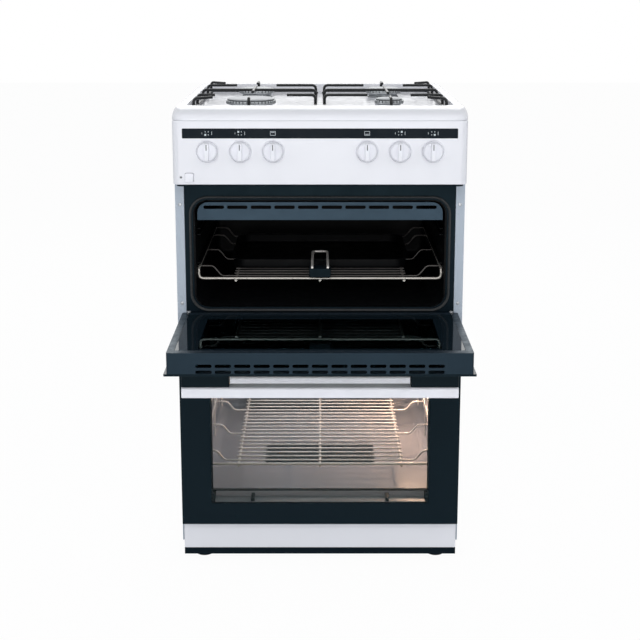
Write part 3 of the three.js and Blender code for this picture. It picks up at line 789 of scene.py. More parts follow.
class RANGE_OT_worktop(Operator):
    """The pressed worktop with its rounded front and sunk well"""
    bl_idname = "gas_range.worktop"
    bl_label = "Worktop"

    def execute(self, context):
        low, high = WORKTOP
        piece = slab("worktop_pressing", low, Vector((high.x, high.y, low.z + 4 * MM)), axis=2, corner=24,
                     edge=0, segments=12)
        bpy.ops.object.mode_set(mode="EDIT")
        bpy.ops.mesh.select_mode(type="FACE")
        bpy.ops.mesh.select_all(action="DESELECT")
        mesh = bmesh.from_edit_mesh(piece.data)
        for face in mesh.faces:
            face.select = face.normal.z > 0.9
        bmesh.update_edit_mesh(piece.data)
        self.spot = [low.x, high.x, low.y, high.y, low.z + 4 * MM]
        rise = high.z - self.spot[4]
        start = list(self.spot)
        steps = 9
        for i in range(1, steps + 1):
            angle = math.pi / 2 * i / steps
            over = 1 - math.cos(angle)
            self.ring(start[0] + 8 * MM * over, start[1] - 8 * MM * over, start[2] + 42 * MM * over,
                      start[3] - 8 * MM * over, start[4] + rise * math.sin(angle))
        well = [-254 * MM, 254 * MM, FRONT + 24 * MM, FRONT + 530 * MM]
        rim = high.z
        floor = 881 * MM
        self.ring(well[0] - 1.2 * MM, well[1] + 1.2 * MM, well[2] - 1.2 * MM, well[3] + 1.2 * MM, rim)
        for inset, drop in ((0.0, 0.5), (1.0, 2.0), (2.0, 6.0), (3.0, 11.0), (5.0, 15.0), (8.5, 17.4)):
            self.ring(well[0] + inset * MM, well[1] - inset * MM, well[2] + inset * MM, well[3] - inset * MM,
                      rim - drop * MM)
        self.ring(well[0] + 13 * MM, well[1] - 13 * MM, well[2] + 13 * MM, well[3] - 13 * MM, floor)
        bpy.ops.mesh.select_all(action="SELECT")
        bpy.ops.mesh.normals_make_consistent(inside=False)
        bpy.ops.object.mode_set(mode="OBJECT")
        smooth(piece, 50)
        finished(piece, "white_enamel", replaces=("worktop",))
        return {"FINISHED"}

    def ring(self, x0, x1, y0, y1, z):
        """Extrudes the selected face and stretches it to new edges."""
        old = self.spot
        bpy.ops.mesh.extrude_region_move(TRANSFORM_OT_translate={"value": (0, 0, z - old[4])})
        ratio = [(x1 - x0) / (old[1] - old[0]), (y1 - y0) / (old[3] - old[2])]
        centre = []
        for low, old_low, k in ((x0, old[0], ratio[0]), (y0, old[2], ratio[1])):
            centre.append((low - k * old_low) / (1 - k) if abs(1 - k) > 1e-9 else 0.0)
        bpy.ops.transform.resize(value=(ratio[0], ratio[1], 1), center_override=(*centre, z))
        self.spot = [x0, x1, y0, y1, z]


class RANGE_OT_burners(Operator):
    """Four burners: body with flame ports, cap, spark electrode"""
    bl_idname = "gas_range.burners"
    bl_label = "Burners"

    def execute(self, context):
        for name in BURNERS:
            low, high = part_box(f"burner_body_{name}")
            radius = (high.x - low.x) / 2 / MM
            centre = Vector(((low.x + high.x) / 2, (low.y + high.y) / 2, 881 * MM))
            self.body(name, radius, centre)
            self.cap(name, radius, centre)
            self.electrode(name, radius, centre)
        return {"FINISHED"}

    def body(self, name, radius, centre):
        stem = radius * 0.42
        neck = radius * 0.8
        profile = [(stem - 2, -9), (stem, -7.5), (stem, 0.3), (neck + 2.4, 0.3), (neck + 3, 0.9),
                   (neck + 3, 2), (neck + 1.5, 3.4), (neck, 4.5), (neck, 6.2), (radius - 3, 7.4),
                   (radius - 0.6, 8), (radius, 8.7), (radius, 13.6), (radius - 0.5, 14.4),
                   (radius - 1.6, 14.9), (radius - 6, 15), (radius * 0.3, 15)]
        crown = turned(f"burner_crown_{name}", profile, centre, 96)
        tools = []
        count = int(radius * 0.84)
        for i in range(count):
            angle = 2 * math.pi * i / count
            port_low = Vector((radius - 4.2, -1.2, 10.4)) * MM
            port_high = Vector((radius + 4, 1.2, 18)) * MM
            port = slab("port", port_low, port_high, edge=0)
            port.rotation_euler = (0, 0, angle)
            port.location = centre
            tools.append(settle(port))
        cut(crown, *tools)
        smooth(crown, 30)
        finished(crown, "burner_aluminium", replaces=(f"burner_body_{name}",))

    def cap(self, name, radius, centre):
        edge = radius - 2.5
        base = 15.3
        profile = [(edge - 3, base), (edge - 0.4, base), *arc(edge - 1.4, base + 1.4, 1.4, -60, 60, 5),
                   (edge - 3.2, base + 3.2), (edge - 6, base + 4.1), (edge * 0.55, base + 4.5),
                   (edge * 0.1, base + 4.6)]
        cap = turned(f"burner_lid_{name}", profile, centre, 96)
        finished(cap, "cap_steel", replaces=(f"burner_cap_{name}",))

    def electrode(self, name, radius, centre):
        """A ceramic pin with a steel tip beside the burner, on the side of the middle."""
        side = 1 if centre.x < 0 else -1
        spot = centre + Vector((side * (radius + 5.5) * 0.72, (radius + 5.5) * 0.72, 0)) * MM
        profile = [(2.6, 0.3), (2.8, 2), (2.8, 5), (2.1, 6), (2.1, 12), (1.2, 13)]
        pin = turned(f"spark_ceramic_{name}", profile, spot, 20)
        finished(pin, "ceramic")
        tip = turned(f"spark_tip_{name}", [(0.6, 13.2), (0.6, 16.4), (0.3, 16.9)], spot, 12)
        finished(tip, "steel")


class RANGE_OT_pan_supports(Operator):
    """Two pan supports of bent and welded wire"""
    bl_idname = "gas_range.pan_supports"
    bl_label = "Pan Supports"

    def execute(self, context):
        radius = context.scene.range_sizes.support_wire
        for word, side in SIDES:
            self.support(word, side, radius)
        return {"FINISHED"}

    def support(self, word, side, radius):
        inner, outer, front, rear = 9, 245, 88, 507
        burner_x = 138
        base = 885.6
        top = 905.5
        middle = 291
        near = ((170, 72 if side < 0 else 43), (412, 43))

        def route(points, bend=9):
            return bent([at(side * x, y, z) for x, y, z in points], bend)

        loop = [(burner_x, front, base), (outer, front, base), (outer, rear, base), (inner, rear, base),
                (inner, front, base), (burner_x - 1, front, base)]
        routes = [route(loop, 14)]
        bridge = [(outer, middle, base), (outer, middle, top), (inner, middle, top), (inner, middle, base)]
        routes.append(route(bridge))
        for y, step in ((front + 2, 30), (rear - 9, -29)):
            routes.append(route([(outer, y, base), (outer, y, top), (212, y + step, top)]))
        for y, reach in near:
            routes.append(route([(outer, y, base), (outer, y, top), (burner_x + reach, y, top)]))
            routes.append(route([(inner, y, base), (inner, y, top), (burner_x - reach, y, top)]))
        (front_y, front_reach), (rear_y, rear_reach) = near
        for y, tip in ((front, front_y - front_reach), (rear, rear_y + rear_reach)):
            routes.append(route([(burner_x, y, base), (burner_x, y, top), (burner_x, tip, top)]))
        routes.append(route([(burner_x, front_y + front_reach, top), (burner_x, rear_y - rear_reach, top)]))
        frame_wires = wires(f"support_wires_{word}", routes, radius)
        pads = []
        for x in (inner, outer):
            for y in (front + 24, rear - 24):
                pads.append(turned("pad", [(4, 881.4), (4.6, 882), (4.6, 885)], at(side * x, y, 0), 20))
        piece = joined(f"pan_support_wires_{word}", *pads, frame_wires)
        finished(piece, "black_wire", f"{word}_support", replaces=(f"pan_support_{word}",))


# ---- controls ----

class RANGE_OT_controls(Operator):
    """Control panel, legend strip with its marks, knobs and the ignition button"""
    bl_idname = "gas_range.controls"
    bl_label = "Controls"

    def execute(self, context):
        self.panel()
        self.strip()
        for i in range(1, 7):
            self.knob(i)
        self.button()
        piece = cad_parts["gas_rail"]
        piece.data.materials.clear()
        piece.data.materials.append(finishes()["gas_brass"])
        return {"FINISHED"}

    def panel(self):
        low, high = PANEL
        shell = slab("control_panel_shell", low, Vector((high.x, high.y + 20 * MM, high.z)), axis=2,
                     corner=12, edge=0, segments=10)
        soften(shell, 1.6, 4, 60)
        trim = slab("trim", Vector((low.x - MM, high.y, low.z - MM)),
                    Vector((high.x + MM, high.y + 40 * MM, high.z + MM)), edge=0)
        wall = 2.4 * MM
        hollow = slab("hollow", low + Vector((wall, wall, wall)),
                      Vector((high.x - wall, high.y + 10 * MM, high.z - wall)), axis=2, corner=10, edge=0)
        cut(shell, hollow)
        cut(shell, trim)
        holes = []
        for i in range(1, 7):
            spot = self.middle(f"knob_{i}")
            holes.append(turned("hole", [(6, -15), (6, 15)], Vector((spot.x, low.y, spot.z)), 32, "Y"))
        spot = self.middle("ignition_button")
        reach = 8.5 * MM
        holes.append(slab("hole", Vector((spot.x - reach, low.y - 9 * MM, spot.z - reach)),
                          Vector((spot.x + reach, low.y + 9 * MM, spot.z + reach)), corner=3, edge=0))
        cut(shell, *holes)
        smooth(shell, 40)
        finished(shell, "white_enamel", replaces=("control_panel",))
        rings = []
        reach = 21 * MM
        for i in range(1, 7):
            spot = self.middle(f"knob_{i}")
            ring = []
            for k in range(48):
                a = 2 * math.pi * k / 48
                across = reach * math.cos(a)
                up = reach * math.sin(a)
                ring.append(Vector((spot.x + across, low.y - 0.1 * MM, spot.z + up)))
            rings.append(ring)
        bezels = wires("knob_bezels", rings, 0.7, cyclic=True, resolution=2)
        finished(bezels, "white_plastic")

    def middle(self, node):
        low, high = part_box(node)
        return (low + high) / 2

    def strip(self):
        low = PANEL[0]
        half = 255 * MM
        face = low.y - 0.35 * MM
        strip = slab("legend_strip", Vector((-half, face, 843.5 * MM)),
                     Vector((half, low.y + 0.6 * MM, 862 * MM)), corner=1.6, edge=0.2)
        finished(strip, "strip_print")
        marks = []
        for i in range(1, 7):
            x = self.middle(f"knob_{i}").x / MM
            marks += self.symbol(i, x, face)
        finished(joined("legend_marks", *marks), "print_mark")

    def mark(self, x, z, width, height, face):
        """A small raised mark of the strip's print."""
        low = Vector((x - width / 2, 0, z - height / 2)) * MM
        high = Vector((x + width / 2, 0, z + height / 2)) * MM
        low.y, high.y = face - 0.12 * MM, face + 0.1 * MM
        return slab("mark", low, high, edge=0)

    def symbol(self, number, x, face):
        """A ring of four hob zones with one of them filled, or an oven's box."""
        z = 853
        made = []
        if number in (3, 4):
            for dz in (-3.6, 3.6):
                made.append(self.mark(x, z + dz, 10, 0.7, face))
            for dx in (-4.7, 4.7):
                made.append(self.mark(x + dx, z, 0.7, 7.6, face))
            level = 1.6 if number == 3 else -1.6
            made.append(self.mark(x, z + level, 6.4, 0.9, face))
            return made
        zones = {1: (-1, -1), 2: (-1, 1), 5: (1, 1), 6: (1, -1)}
        for dx in (-1, 1):
            for dz in (-1, 1):
                size = 3.2 if (dx, dz) == zones[number] else 1.5
                made.append(self.mark(x + dx * 2.8, z + dz * 2.8, size, size, face))
        made.append(self.mark(x + 9, z, 0.7, 6.5, face))
        made.append(self.mark(x - 9, z, 0.7, 3.5, face))
        return made

    def knob(self, i):
        node = f"knob_{i}"
        low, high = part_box(node)
        centre = Vector(((low.x + high.x) / 2, high.y, (low.z + high.z) / 2))
        profile = [(17.8, 0), (18.8, 0.6), (19, 2), (18.6, 3.4), (17.6, 7.2), (16.9, 8.6), (15.6, 9.3),
                   (14.2, 9.5), (4, 9.6)]
        skirt = turned("skirt", profile, centre, 64, "Y")
        grip = slab("grip", centre + Vector((-4.3, -19.5, -17.2)) * MM,
                    centre + Vector((4.3, -7, 17.2)) * MM, axis=0, corner=4.5, edge=1.3)
        piece = joined(f"{node}_moulding", grip, skirt)
        smooth(piece, 40)
        finished(piece, "white_plastic", f"{node}_body", replaces=(node,))
        line = slab(f"{node}_line", centre + Vector((-0.8, -19.62, 4.5)) * MM,
                    centre + Vector((0.8, -19.3, 15)) * MM, edge=0.1)
        finished(line, "dark_mark", f"{node}_body")

    def button(self):
        low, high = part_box("ignition_button")
        cap = slab("ignition_cap", low, high, corner=2.8, edge=0.9)
        finished(cap, "white_plastic", "button", replaces=("ignition_button",))
        spot = self.middle("ignition_button")
        face = PANEL[0].y
        rays = []
        for angle in (0, 45, 90, 135):
            ray = slab("ray", Vector((-2.6, -0.15, -0.35)) * MM, Vector((2.6, 0.1, 0.35)) * MM, edge=0)
            ray.rotation_euler = (0, math.radians(angle), 0)
            ray.location = Vector((spot.x - 15.5 * MM, face, spot.z))
            rays.append(settle(ray))
        finished(joined("spark_mark", *rays), "dark_mark")


# ---- ovens ----

class RANGE_OT_ovens(Operator):
    """Both cavities with their seals, ledges, burners, deflector, lamp, and a black floor plate that paints
    the shade on the main oven's floor
    """
    bl_idname = "gas_range.ovens"
    bl_label = "Ovens"

    def execute(self, context):
        self.cavity(TOP_OVEN, "cavity_enamel", "black_enamel")
        self.cavity(MAIN_OVEN, "brown_enamel", "brown_enamel")
        for oven in (TOP_OVEN, MAIN_OVEN):
            self.seal(oven)
        self.deflector()
        self.grill()
        self.guard_burner("top_oven_burner")
        self.guard_burner("main_oven_burner")
        self.lamp()
        self.floor_plate()
        return {"FINISHED"}

    def cavity(self, oven, finish, slot):
        """A pressed box: wide corner radii, folded lip, round ledges for the shelves."""
        z0, z1 = oven["z"][0] + 2, oven["z"][1] - 2
        depth = oven["depth"]
        shell = slab("shell", at(-240, 2.3, z0 - 2), at(240, depth, z1 + 2), corner=27, edge=0, segments=14)
        lip = slab("lip", at(-249.5, 2.3, z0 - 9), at(249.5, 3.8, z1 + 9), corner=32, edge=0, segments=14)
        room = slab("room", at(-CAVITY_HALF, -60, z0), at(CAVITY_HALF, depth - 2, z1), corner=25, edge=0,
                    segments=14)
        soften(room, 14, 7, 60)
        lip_room = slab("lip_room", at(-CAVITY_HALF, -9, z0), at(CAVITY_HALF, 9, z1), corner=25, edge=0,
                        segments=14)
        cut(shell, room)
        cut(lip, lip_room)
        smooth(shell, 40)
        smooth(lip, 40)
        ledges = []
        for z in oven["ledges"]:
            for _, side in SIDES:
                for middle in (z - 2, z + 10):
                    x0, x1 = sorted((side * 231, side * 237.9))
                    ledges.append(slab("ledge", at(x0, 32, middle - 2), at(x1, 440, middle + 2), axis=0,
                                       corner=1.9, edge=0.9))
        name = oven["name"]
        piece = joined(f"{name}_lining", lip, *ledges, shell)
        if oven is MAIN_OVEN:
            low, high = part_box("oven_lamp")
            centre = Vector((CAVITY_HALF * MM, (low.y + high.y) / 2, (low.z + high.z) / 2))
            cut(piece, turned("hole", [(16.5, -20), (16.5, 20)], centre, 40, "X"))
        finished(piece, finish, replaces=(f"{name}_cavity",))

    def seal(self, oven):
        """A hollow-looking round seal with a flat lip, laid round the mouth."""
        z0, z1 = oven["z"]
        grow = 5.6
        route = self.rounded(MOUTH_HALF + grow, z0 - grow, z1 + grow, 28 + grow, -2.5)
        tube = wires("tube", [route], 2.1, cyclic=True, resolution=3)
        flat = self.rounded(MOUTH_HALF + grow - 1.6, z0 - grow + 1.6, z1 + grow - 1.6, 27 + grow, -1.4)
        lip = wires("lip", [flat], 1.1, cyclic=True, resolution=2)
        piece = joined(f"{oven['name']}_seal_tube", lip, tube)
        finished(piece, "seal_rubber", replaces=(f"{oven['name']}_seal",))

    def rounded(self, half, z0, z1, radius, y):
        """A closed route round a mouth with round corners."""
        route = []
        corners = (((half - radius), z0 + radius, -90), ((half - radius), z1 - radius, 0),
                   (-(half - radius), z1 - radius, 90), (-(half - radius), z0 + radius, 180))
        for x, z, start in corners:
            for i in range(13):
                angle = math.radians(start + 90 * i / 12)
                route.append(at(x + radius * math.cos(angle), y, z + radius * math.sin(angle)))
        return route

    def deflector(self):
        plate = slab("deflector_plate", at(-234, 6, 682), at(234, 7.5, 716.5), edge=0)
        edges_along(plate, 1)
        middle = 700 * MM
        mesh = bmesh.from_edit_mesh(plate.data)
        for edge in mesh.edges:
            if edge.verts[0].co.z < middle:
                edge.select = False
        bmesh.update_edit_mesh(plate.data)
        bpy.ops.mesh.bevel(offset=21 * MM, segments=10, affect="EDGES")
        bpy.ops.object.mode_set(mode="OBJECT")
        slots = []
        for i in range(10):
            x = (i - 4.5) * 45
            slots.append(slab("slot", at(x - 19.5, 0, 703.5), at(x + 19.5, 12, 710), corner=2.8, edge=0))
        cut(plate, *slots)
        soften(plate, 0.4, 2, 60)
        fold = slab("fold", at(-212, 7, 715), at(212, 22, 716.5), edge=0.5)
        hem = slab("hem", at(-233, 7.2, 682), at(233, 12, 683.4), edge=0.5)
        piece = joined("deflector_sheet", fold, hem, plate)
        finished(piece, "deflector_sheet", replaces=("grill_deflector",))

    def grill(self):
        """The grill burner: a shallow pressed box with rows of ports on its underside."""
        low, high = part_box("grill_burner")
        lip_high = Vector((high.x, low.y + 260 * MM, low.z + 4 * MM))
        lip = slab("lip", low, lip_high, axis=2, corner=12, edge=0.8)
        box = slab("box", Vector((low.x + 10 * MM, low.y + 10 * MM, low.z + 3 * MM)),
                   Vector((high.x - 10 * MM, low.y + 250 * MM, high.z)), axis=2, corner=10, edge=2.5)
        feed = turned("feed", [(6, 0), (6, 58)], Vector((0, low.y + 308 * MM, low.z + 8 * MM)), 24, "Y")
        ports = []
        for row in range(8):
            for i in range(12):
                x = (i - 5.5) * 23 * MM
                y = low.y + (25 + row * 30) * MM
                ports.append(slab("port", Vector((x - 7 * MM, y - 1.5 * MM, low.z - MM)),
                                  Vector((x + 7 * MM, y + 1.5 * MM, low.z + 2 * MM)), edge=0))
        cut(lip, *ports)
        piece = joined("grill_burner_box", feed, box, lip)
        finished(piece, "steel", replaces=("grill_burner",))

    def guard_burner(self, node):
        """A burner tube under its folded guard, whose lower edge is cut into teeth."""
        low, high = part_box(node)
        half = (high.x - low.x) / 2
        axis_y = low.y + 12 * MM
        axis_z = low.z + 8 * MM
        reach = half / MM - 10
        tube = turned("tube", [(8, -reach), (8, reach)], Vector((0, axis_y, axis_z)), 32, "X")
        face = slab("face", Vector((-half, low.y, axis_z)), Vector((half, low.y + 1.5 * MM, high.z)), edge=0)
        teeth = []
        pitch = 9.2 * MM
        count = int(2 * half / pitch) - 1
        for i in range(count):
            x = (i - (count - 1) / 2) * pitch
            teeth.append(slab("gap", Vector((x - 2.2 * MM, low.y - 3 * MM, axis_z - MM)),
                              Vector((x + 2.2 * MM, low.y + 4 * MM, axis_z + 4.5 * MM)), edge=0))
        cut(face, *teeth)
        roof_low = Vector((-half, low.y, high.z - 1.5 * MM))
        roof = slab("roof", roof_low, Vector((half, high.y, high.z)), edge=0.5)
        piece = joined(f"{node}_guard", tube, roof, face)
        finished(piece, "coated_sheet", replaces=(node,))

    def lamp(self):
        low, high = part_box("oven_lamp")
        centre = Vector((CAVITY_HALF * MM, (low.y + high.y) / 2, (low.z + high.z) / 2))
        profile = [(15.5, 20), (15.5, 0.2), (23, -0.4), (22.4, -4), (20.5, -9), (17, -13), (12, -15.8),
                   (6, -17), (1, -17)]
        dome = turned("lamp_dome", profile, centre, 40, "X")
        finished(dome, "lamp_glass", replaces=("oven_lamp",))
        bpy.ops.object.light_add(type="POINT", location=centre - Vector((0.03, 0, 0)))
        glow = bpy.context.object
        glow.name = "oven_lamp_light"
        glow.data.energy = 3.7
        glow.data.color = (1.0, 0.7, 0.53)
        glow.data.shadow_soft_size = 0.012
        bpy.ops.object.light_add(type="AREA", location=at(0, 230, 402))
        fill = bpy.context.object
        fill.name = "main_oven_light"
        fill.data.size = 0.36
        fill.data.energy = 1.5
        fill.data.color = (0.78, 0.87, 1.0)

    def floor_plate(self):
        # A black plate on the main oven's floor: painted shade, standing in for the dark patch of shadow and
        # reflection there.
        low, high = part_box("oven_floor_plate")
        plate = slab("plate", low, Vector((high.x, high.y, low.z + 2.5 * MM)), axis=2, corner=18, edge=0.8)
        boss = slab("boss", Vector((low.x + 20 * MM, low.y + 18 * MM, low.z + 1 * MM)),
                    Vector((high.x - 20 * MM, high.y - 18 * MM, high.z)), axis=2, corner=12, edge=1.2)
        finished(joined("floor_plate_pressing", boss, plate), "black_enamel", replaces=("oven_floor_plate",))


class RANGE_OT_shelves(Operator):
    """Wire shelves, side racks of the main oven, grill pan and its handle"""
    bl_idname = "gas_range.shelves"
    bl_label = "Shelves"

    def execute(self, context):
        sizes = context.scene.range_sizes
        self.shelf("top_oven_shelf", "top_shelf", 565, sizes)
        self.shelf("main_oven_shelf", "root", 184, sizes)
        self.side_racks()
        self.grill_pan()
        self.pan_handle()
        return {"FINISHED"}

    def shelf(self, node, body, z, sizes):
        rail_x, rail_z, depth, rod_x = 234.3, 20, 412, 163
        thin, thick = sizes.shelf_wire, sizes.shelf_frame_wire
        pitch = depth / 19

        def route(points, bend=9):
            return bent([at(x, y + 18, z + dz) for x, y, dz in points], bend)

        outer = [(-rail_x, depth, rail_z), (-rail_x, 0, rail_z), (-rail_x, 0, 0), (rail_x, 0, 0),
                 (rail_x, 0, rail_z), (rail_x, depth, rail_z)]
        routes = [route(outer, 10)]
        for x in (-rod_x, 0, rod_x):
            routes.append(route([(x, -1, -thick - thin + 0.4), (x, depth + 2, -thick - thin + 0.4)]))
        frame_wires = wires("frame", routes, thick, resolution=4)
        crossing = []
        for i in range(1, 20):
            y = i * pitch
            if i in (1, 8, 15, 19):
                crossing.append(route([(-rail_x, y, rail_z), (-208, y, rail_z), (-192, y, 0), (192, y, 0),
                                       (208, y, rail_z), (rail_x, y, rail_z)], 6))
            else:
                crossing.append([at(-rod_x - 5, y + 18, z), at(rod_x + 5, y + 18, z)])
        cross_wires = wires("cross", crossing, thin, resolution=3)
        cross_wires.name = f"{node}_cross_wires"
        frame_wires.name = f"{node}_frame_wires"
        # The upper oven's shelf takes the darker wire colours: painted shade for its dim cavity.
        shaded_shelf = body == "top_shelf"
        finished(cross_wires, "stained_wire" if shaded_shelf else "bright_wire", body, (node,))
        finished(frame_wires, "dull_wire" if shaded_shelf else "bright_wire", body, (node,))

    def side_racks(self):
        """A ladder of chrome wire on each wall of the main oven, in front of its ledges."""
        for word, side in SIDES:
            x = side * 229.2
            routes = []
            for y in (48, 250, 452):
                routes.append([at(x, y, 158), at(x, y, 392)])
            for z in (226, 262, 298, 334, 370):
                wall = side * 236.5
                routes.append(bent([at(wall, 48, z), at(x, 48, z), at(x, 452, z), at(wall, 452, z)], 5))
            piece = wires(f"side_rack_{word}", routes, 1.6, resolution=3)
            finished(piece, "bright_wire")

    def grill_pan(self):
        low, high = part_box("grill_pan")
        rim = 6 * MM
        inset = Vector((rim, rim, 0))
        outer = slab("tray", low + inset, high - inset, axis=2, corner=24, edge=0, segments=12)
        soften(outer, 3.5, 4, 60)
        lip_low = Vector((low.x, low.y, high.z - 1.6 * MM))
        lip = slab("lip", lip_low, high, axis=2, corner=30, edge=0.7, segments=12)
        wall = 1.6 * MM
        tools = []
        for _ in range(2):
            room_low = low + Vector((rim + wall, rim + wall, wall))
            room_high = high - Vector((rim + wall, rim + wall, -5 * MM))
            tools.append(slab("room", room_low, room_high, axis=2, corner=22, edge=0, segments=12))
        soften(tools[0], 3, 4, 60)
        cut(outer, tools[0])
        cut(lip, tools[1])
        smooth(outer, 45)
        piece = joined("grill_pan_tray", lip, outer)
        finished(piece, "cavity_enamel", "grill_tray", replaces=("grill_pan",))

    def pan_handle(self):
        low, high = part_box("grill_pan_handle")
        z = 590.2
        grip_high = Vector((high.x, FRONT + 34 * MM, 587.6 * MM))
        grip = slab("handle_grip", low, grip_high, axis=1, corner=5, edge=2.2)
        finished(grip, "black_plastic", "grill_tray")
        route = [at(-15, 7, 583), at(-15, 7, z), at(-15, 150, z)]
        route += [at(15, 150, z), at(15, 7, z), at(15, 7, 583)]
        rods = wires("handle_rods", [bent(route, 8)], 2.4)
        finished(rods, "bright_wire", "grill_tray", replaces=("grill_pan_handle",))


# ---- doors ----

class RANGE_OT_doors(Operator):
    """Both oven doors: frame, glasses, handles, and the hinge arms they turn on"""
    bl_idname = "gas_range.doors"
    bl_label = "Doors"

    def execute(self, context):
        for door in (TOP_DOOR, MAIN_DOOR):
            self.door_frame(door)
            self.glasses(door)
            self.retainer(door)
            self.handle(door, context.scene.range_sizes.handle_edge)
            self.hinges(door)
        return {"FINISHED"}

    def door_frame(self, door):
        frame_y = door.outer + 4.3
        half = 264.5
        shell = slab("frame", at(-half, frame_y, door.frame_bottom), at(half, door.inner, door.top),
                     corner=3, edge=0)
        cut(shell, slab("hollow", at(2 - half, frame_y + 0.6, door.frame_bottom + 20),
                        at(half - 2, door.inner - 5.8, door.top - 2), edge=0))
        cut(shell, slab("window", at(-214, -90, door.window[0]), at(214, 90, door.window[1]),
                        corner=14, edge=0))
        cut(shell, slab("recess", at(-252, door.inner - 4.3, door.frame_bottom + 14),
                        at(252, 9, door.top - 16), corner=4, edge=0))
        tools = []
        for row in (0, 1):
            y = door.outer + 18.5 - row * 10.7
            for i in range(-6, 7):
                x = i * 33.4
                tools.append(slab("slot", at(x - 14, y - 3, door.top - 9), at(x + 14, y + 3, door.top + 9),
                                  axis=2, corner=2.6, edge=0, segments=5))
        for _, side in SIDES:
            x = side * HINGE_X
            tools.append(slab("notch", at(x - 2, door.pivot[0] - 8, door.frame_bottom - 9),
                              at(x + 2, 9, door.pivot[1] + 8), edge=0))
        cut(shell, *tools)
        soften(shell, 0.9, 3, 50)
        swung(shell, door)
        shell.name = f"{door.name}_frame_pressing"
        finished(shell, "coated_sheet", door.name, replaces=(f"{door.name}_frame",))

    def glasses(self, door):
        outer = slab(f"{door.name}_front_glass", at(-270, door.outer, door.bottom),
                     at(270, door.outer + 4, door.top), corner=2, edge=0.5)
        swung(outer, door)
        finished(outer, f"{door.name}_outer_glass", door.name, (f"{door.name}_outer_glass",))
        inner = slab(f"{door.name}_rear_glass", at(-251.7, door.inner - 4, door.frame_bottom + 14.3),
                     at(251.7, door.inner - 0.01, door.top - 16.3), corner=4, edge=0.5)
        swung(inner, door)
        finished(inner, f"{door.name}_inner_glass", door.name, (f"{door.name}_inner_glass",))

    def retainer(self, door):
        """A folded strip between the panes, under the window, with two dark clips."""
        z = door.window[0] + 0.2
        base = slab("base", at(-206, door.outer + 5, z), at(206, door.inner - 6.2, z + 1.2), edge=0.4)
        upstand = slab("upstand", at(-206, door.inner - 7.6, z), at(206, door.inner - 6.2, z + 11), edge=0.4)
        strip = swung(joined(f"{door.name}_retainer", base, upstand), door)
        finished(strip, "brown_enamel", door.name)
        clips = []
        for x in (-132, 132):
            clips.append(slab("clip", at(x - 3.5, door.outer + 5, z + 1.3),
                              at(x + 3.5, door.inner - 7.8, z + 8), edge=0.6))
        clip = swung(joined(f"{door.name}_clips", *clips), door)
        finished(clip, "black_plastic", door.name)

    def handle(self, door, edge):
        top = door.handle_top
        for word, side in SIDES:
            x0, x1 = sorted((side * 159, side * 243))
            post = slab(f"{door.name}_post_{word}", at(x0, door.outer - 30, top - 27),
                        at(x1, door.outer - 0.3, top - 3), axis=1, corner=3, edge=1.2)
            swung(post, door)
            finished(post, "black_plastic", door.name, replaces=(f"{door.name}_handle_post_{word}",))
        face = door.outer - 30.3
        grip = slab(f"{door.name}_grip_bar", at(-243, face - 19.5, top - 30), at(243, face, top), axis=0,
                    corner=edge, edge=1.4, segments=6)
        swung(grip, door)
        finished(grip, "white_plastic", door.name, replaces=(f"{door.name}_handle_bar",))

    def hinges(self, door):
        for word, side in SIDES:
            node = f"{door.name.split('_')[0]}_hinge_arm_{word}"
            x = side * HINGE_X
            y, z = door.pivot
            arm = slab("arm", at(x - 1.5, y - 3, z - 5.5), at(x + 1.5, 14, z + 5.5), axis=0,
                       corner=2, edge=0.4)
            eye = turned("eye", [(6.2, -1.5), (6.2, 1.5)], at(x, y, z), 32, "X", edge=0.3)
            pin = turned("pin", [(2.6, -6), (3, -5.5), (3, 5.5), (2.6, 6)], at(x, y, z), 24, "X")
            finished(joined(f"{node}_forging", arm, eye, pin), "steel", replaces=(node,))
            plates = []
            for drop in (-11.5, 11.5):
                middle = z + drop
                plates.append(slab("plate", at(x - 4, -1.3, middle - 4), at(x + 4, -0.1, middle + 4),
                                   corner=1.5, edge=0.3))
                plates.append(turned("screw", [(2.6, 1.2), (2.4, 2), (1.4, 2.5)], at(x, 0, middle), 20, "Y"))
            finished(joined(f"{node}_plates", *plates), "steel")


# ---- stage ----

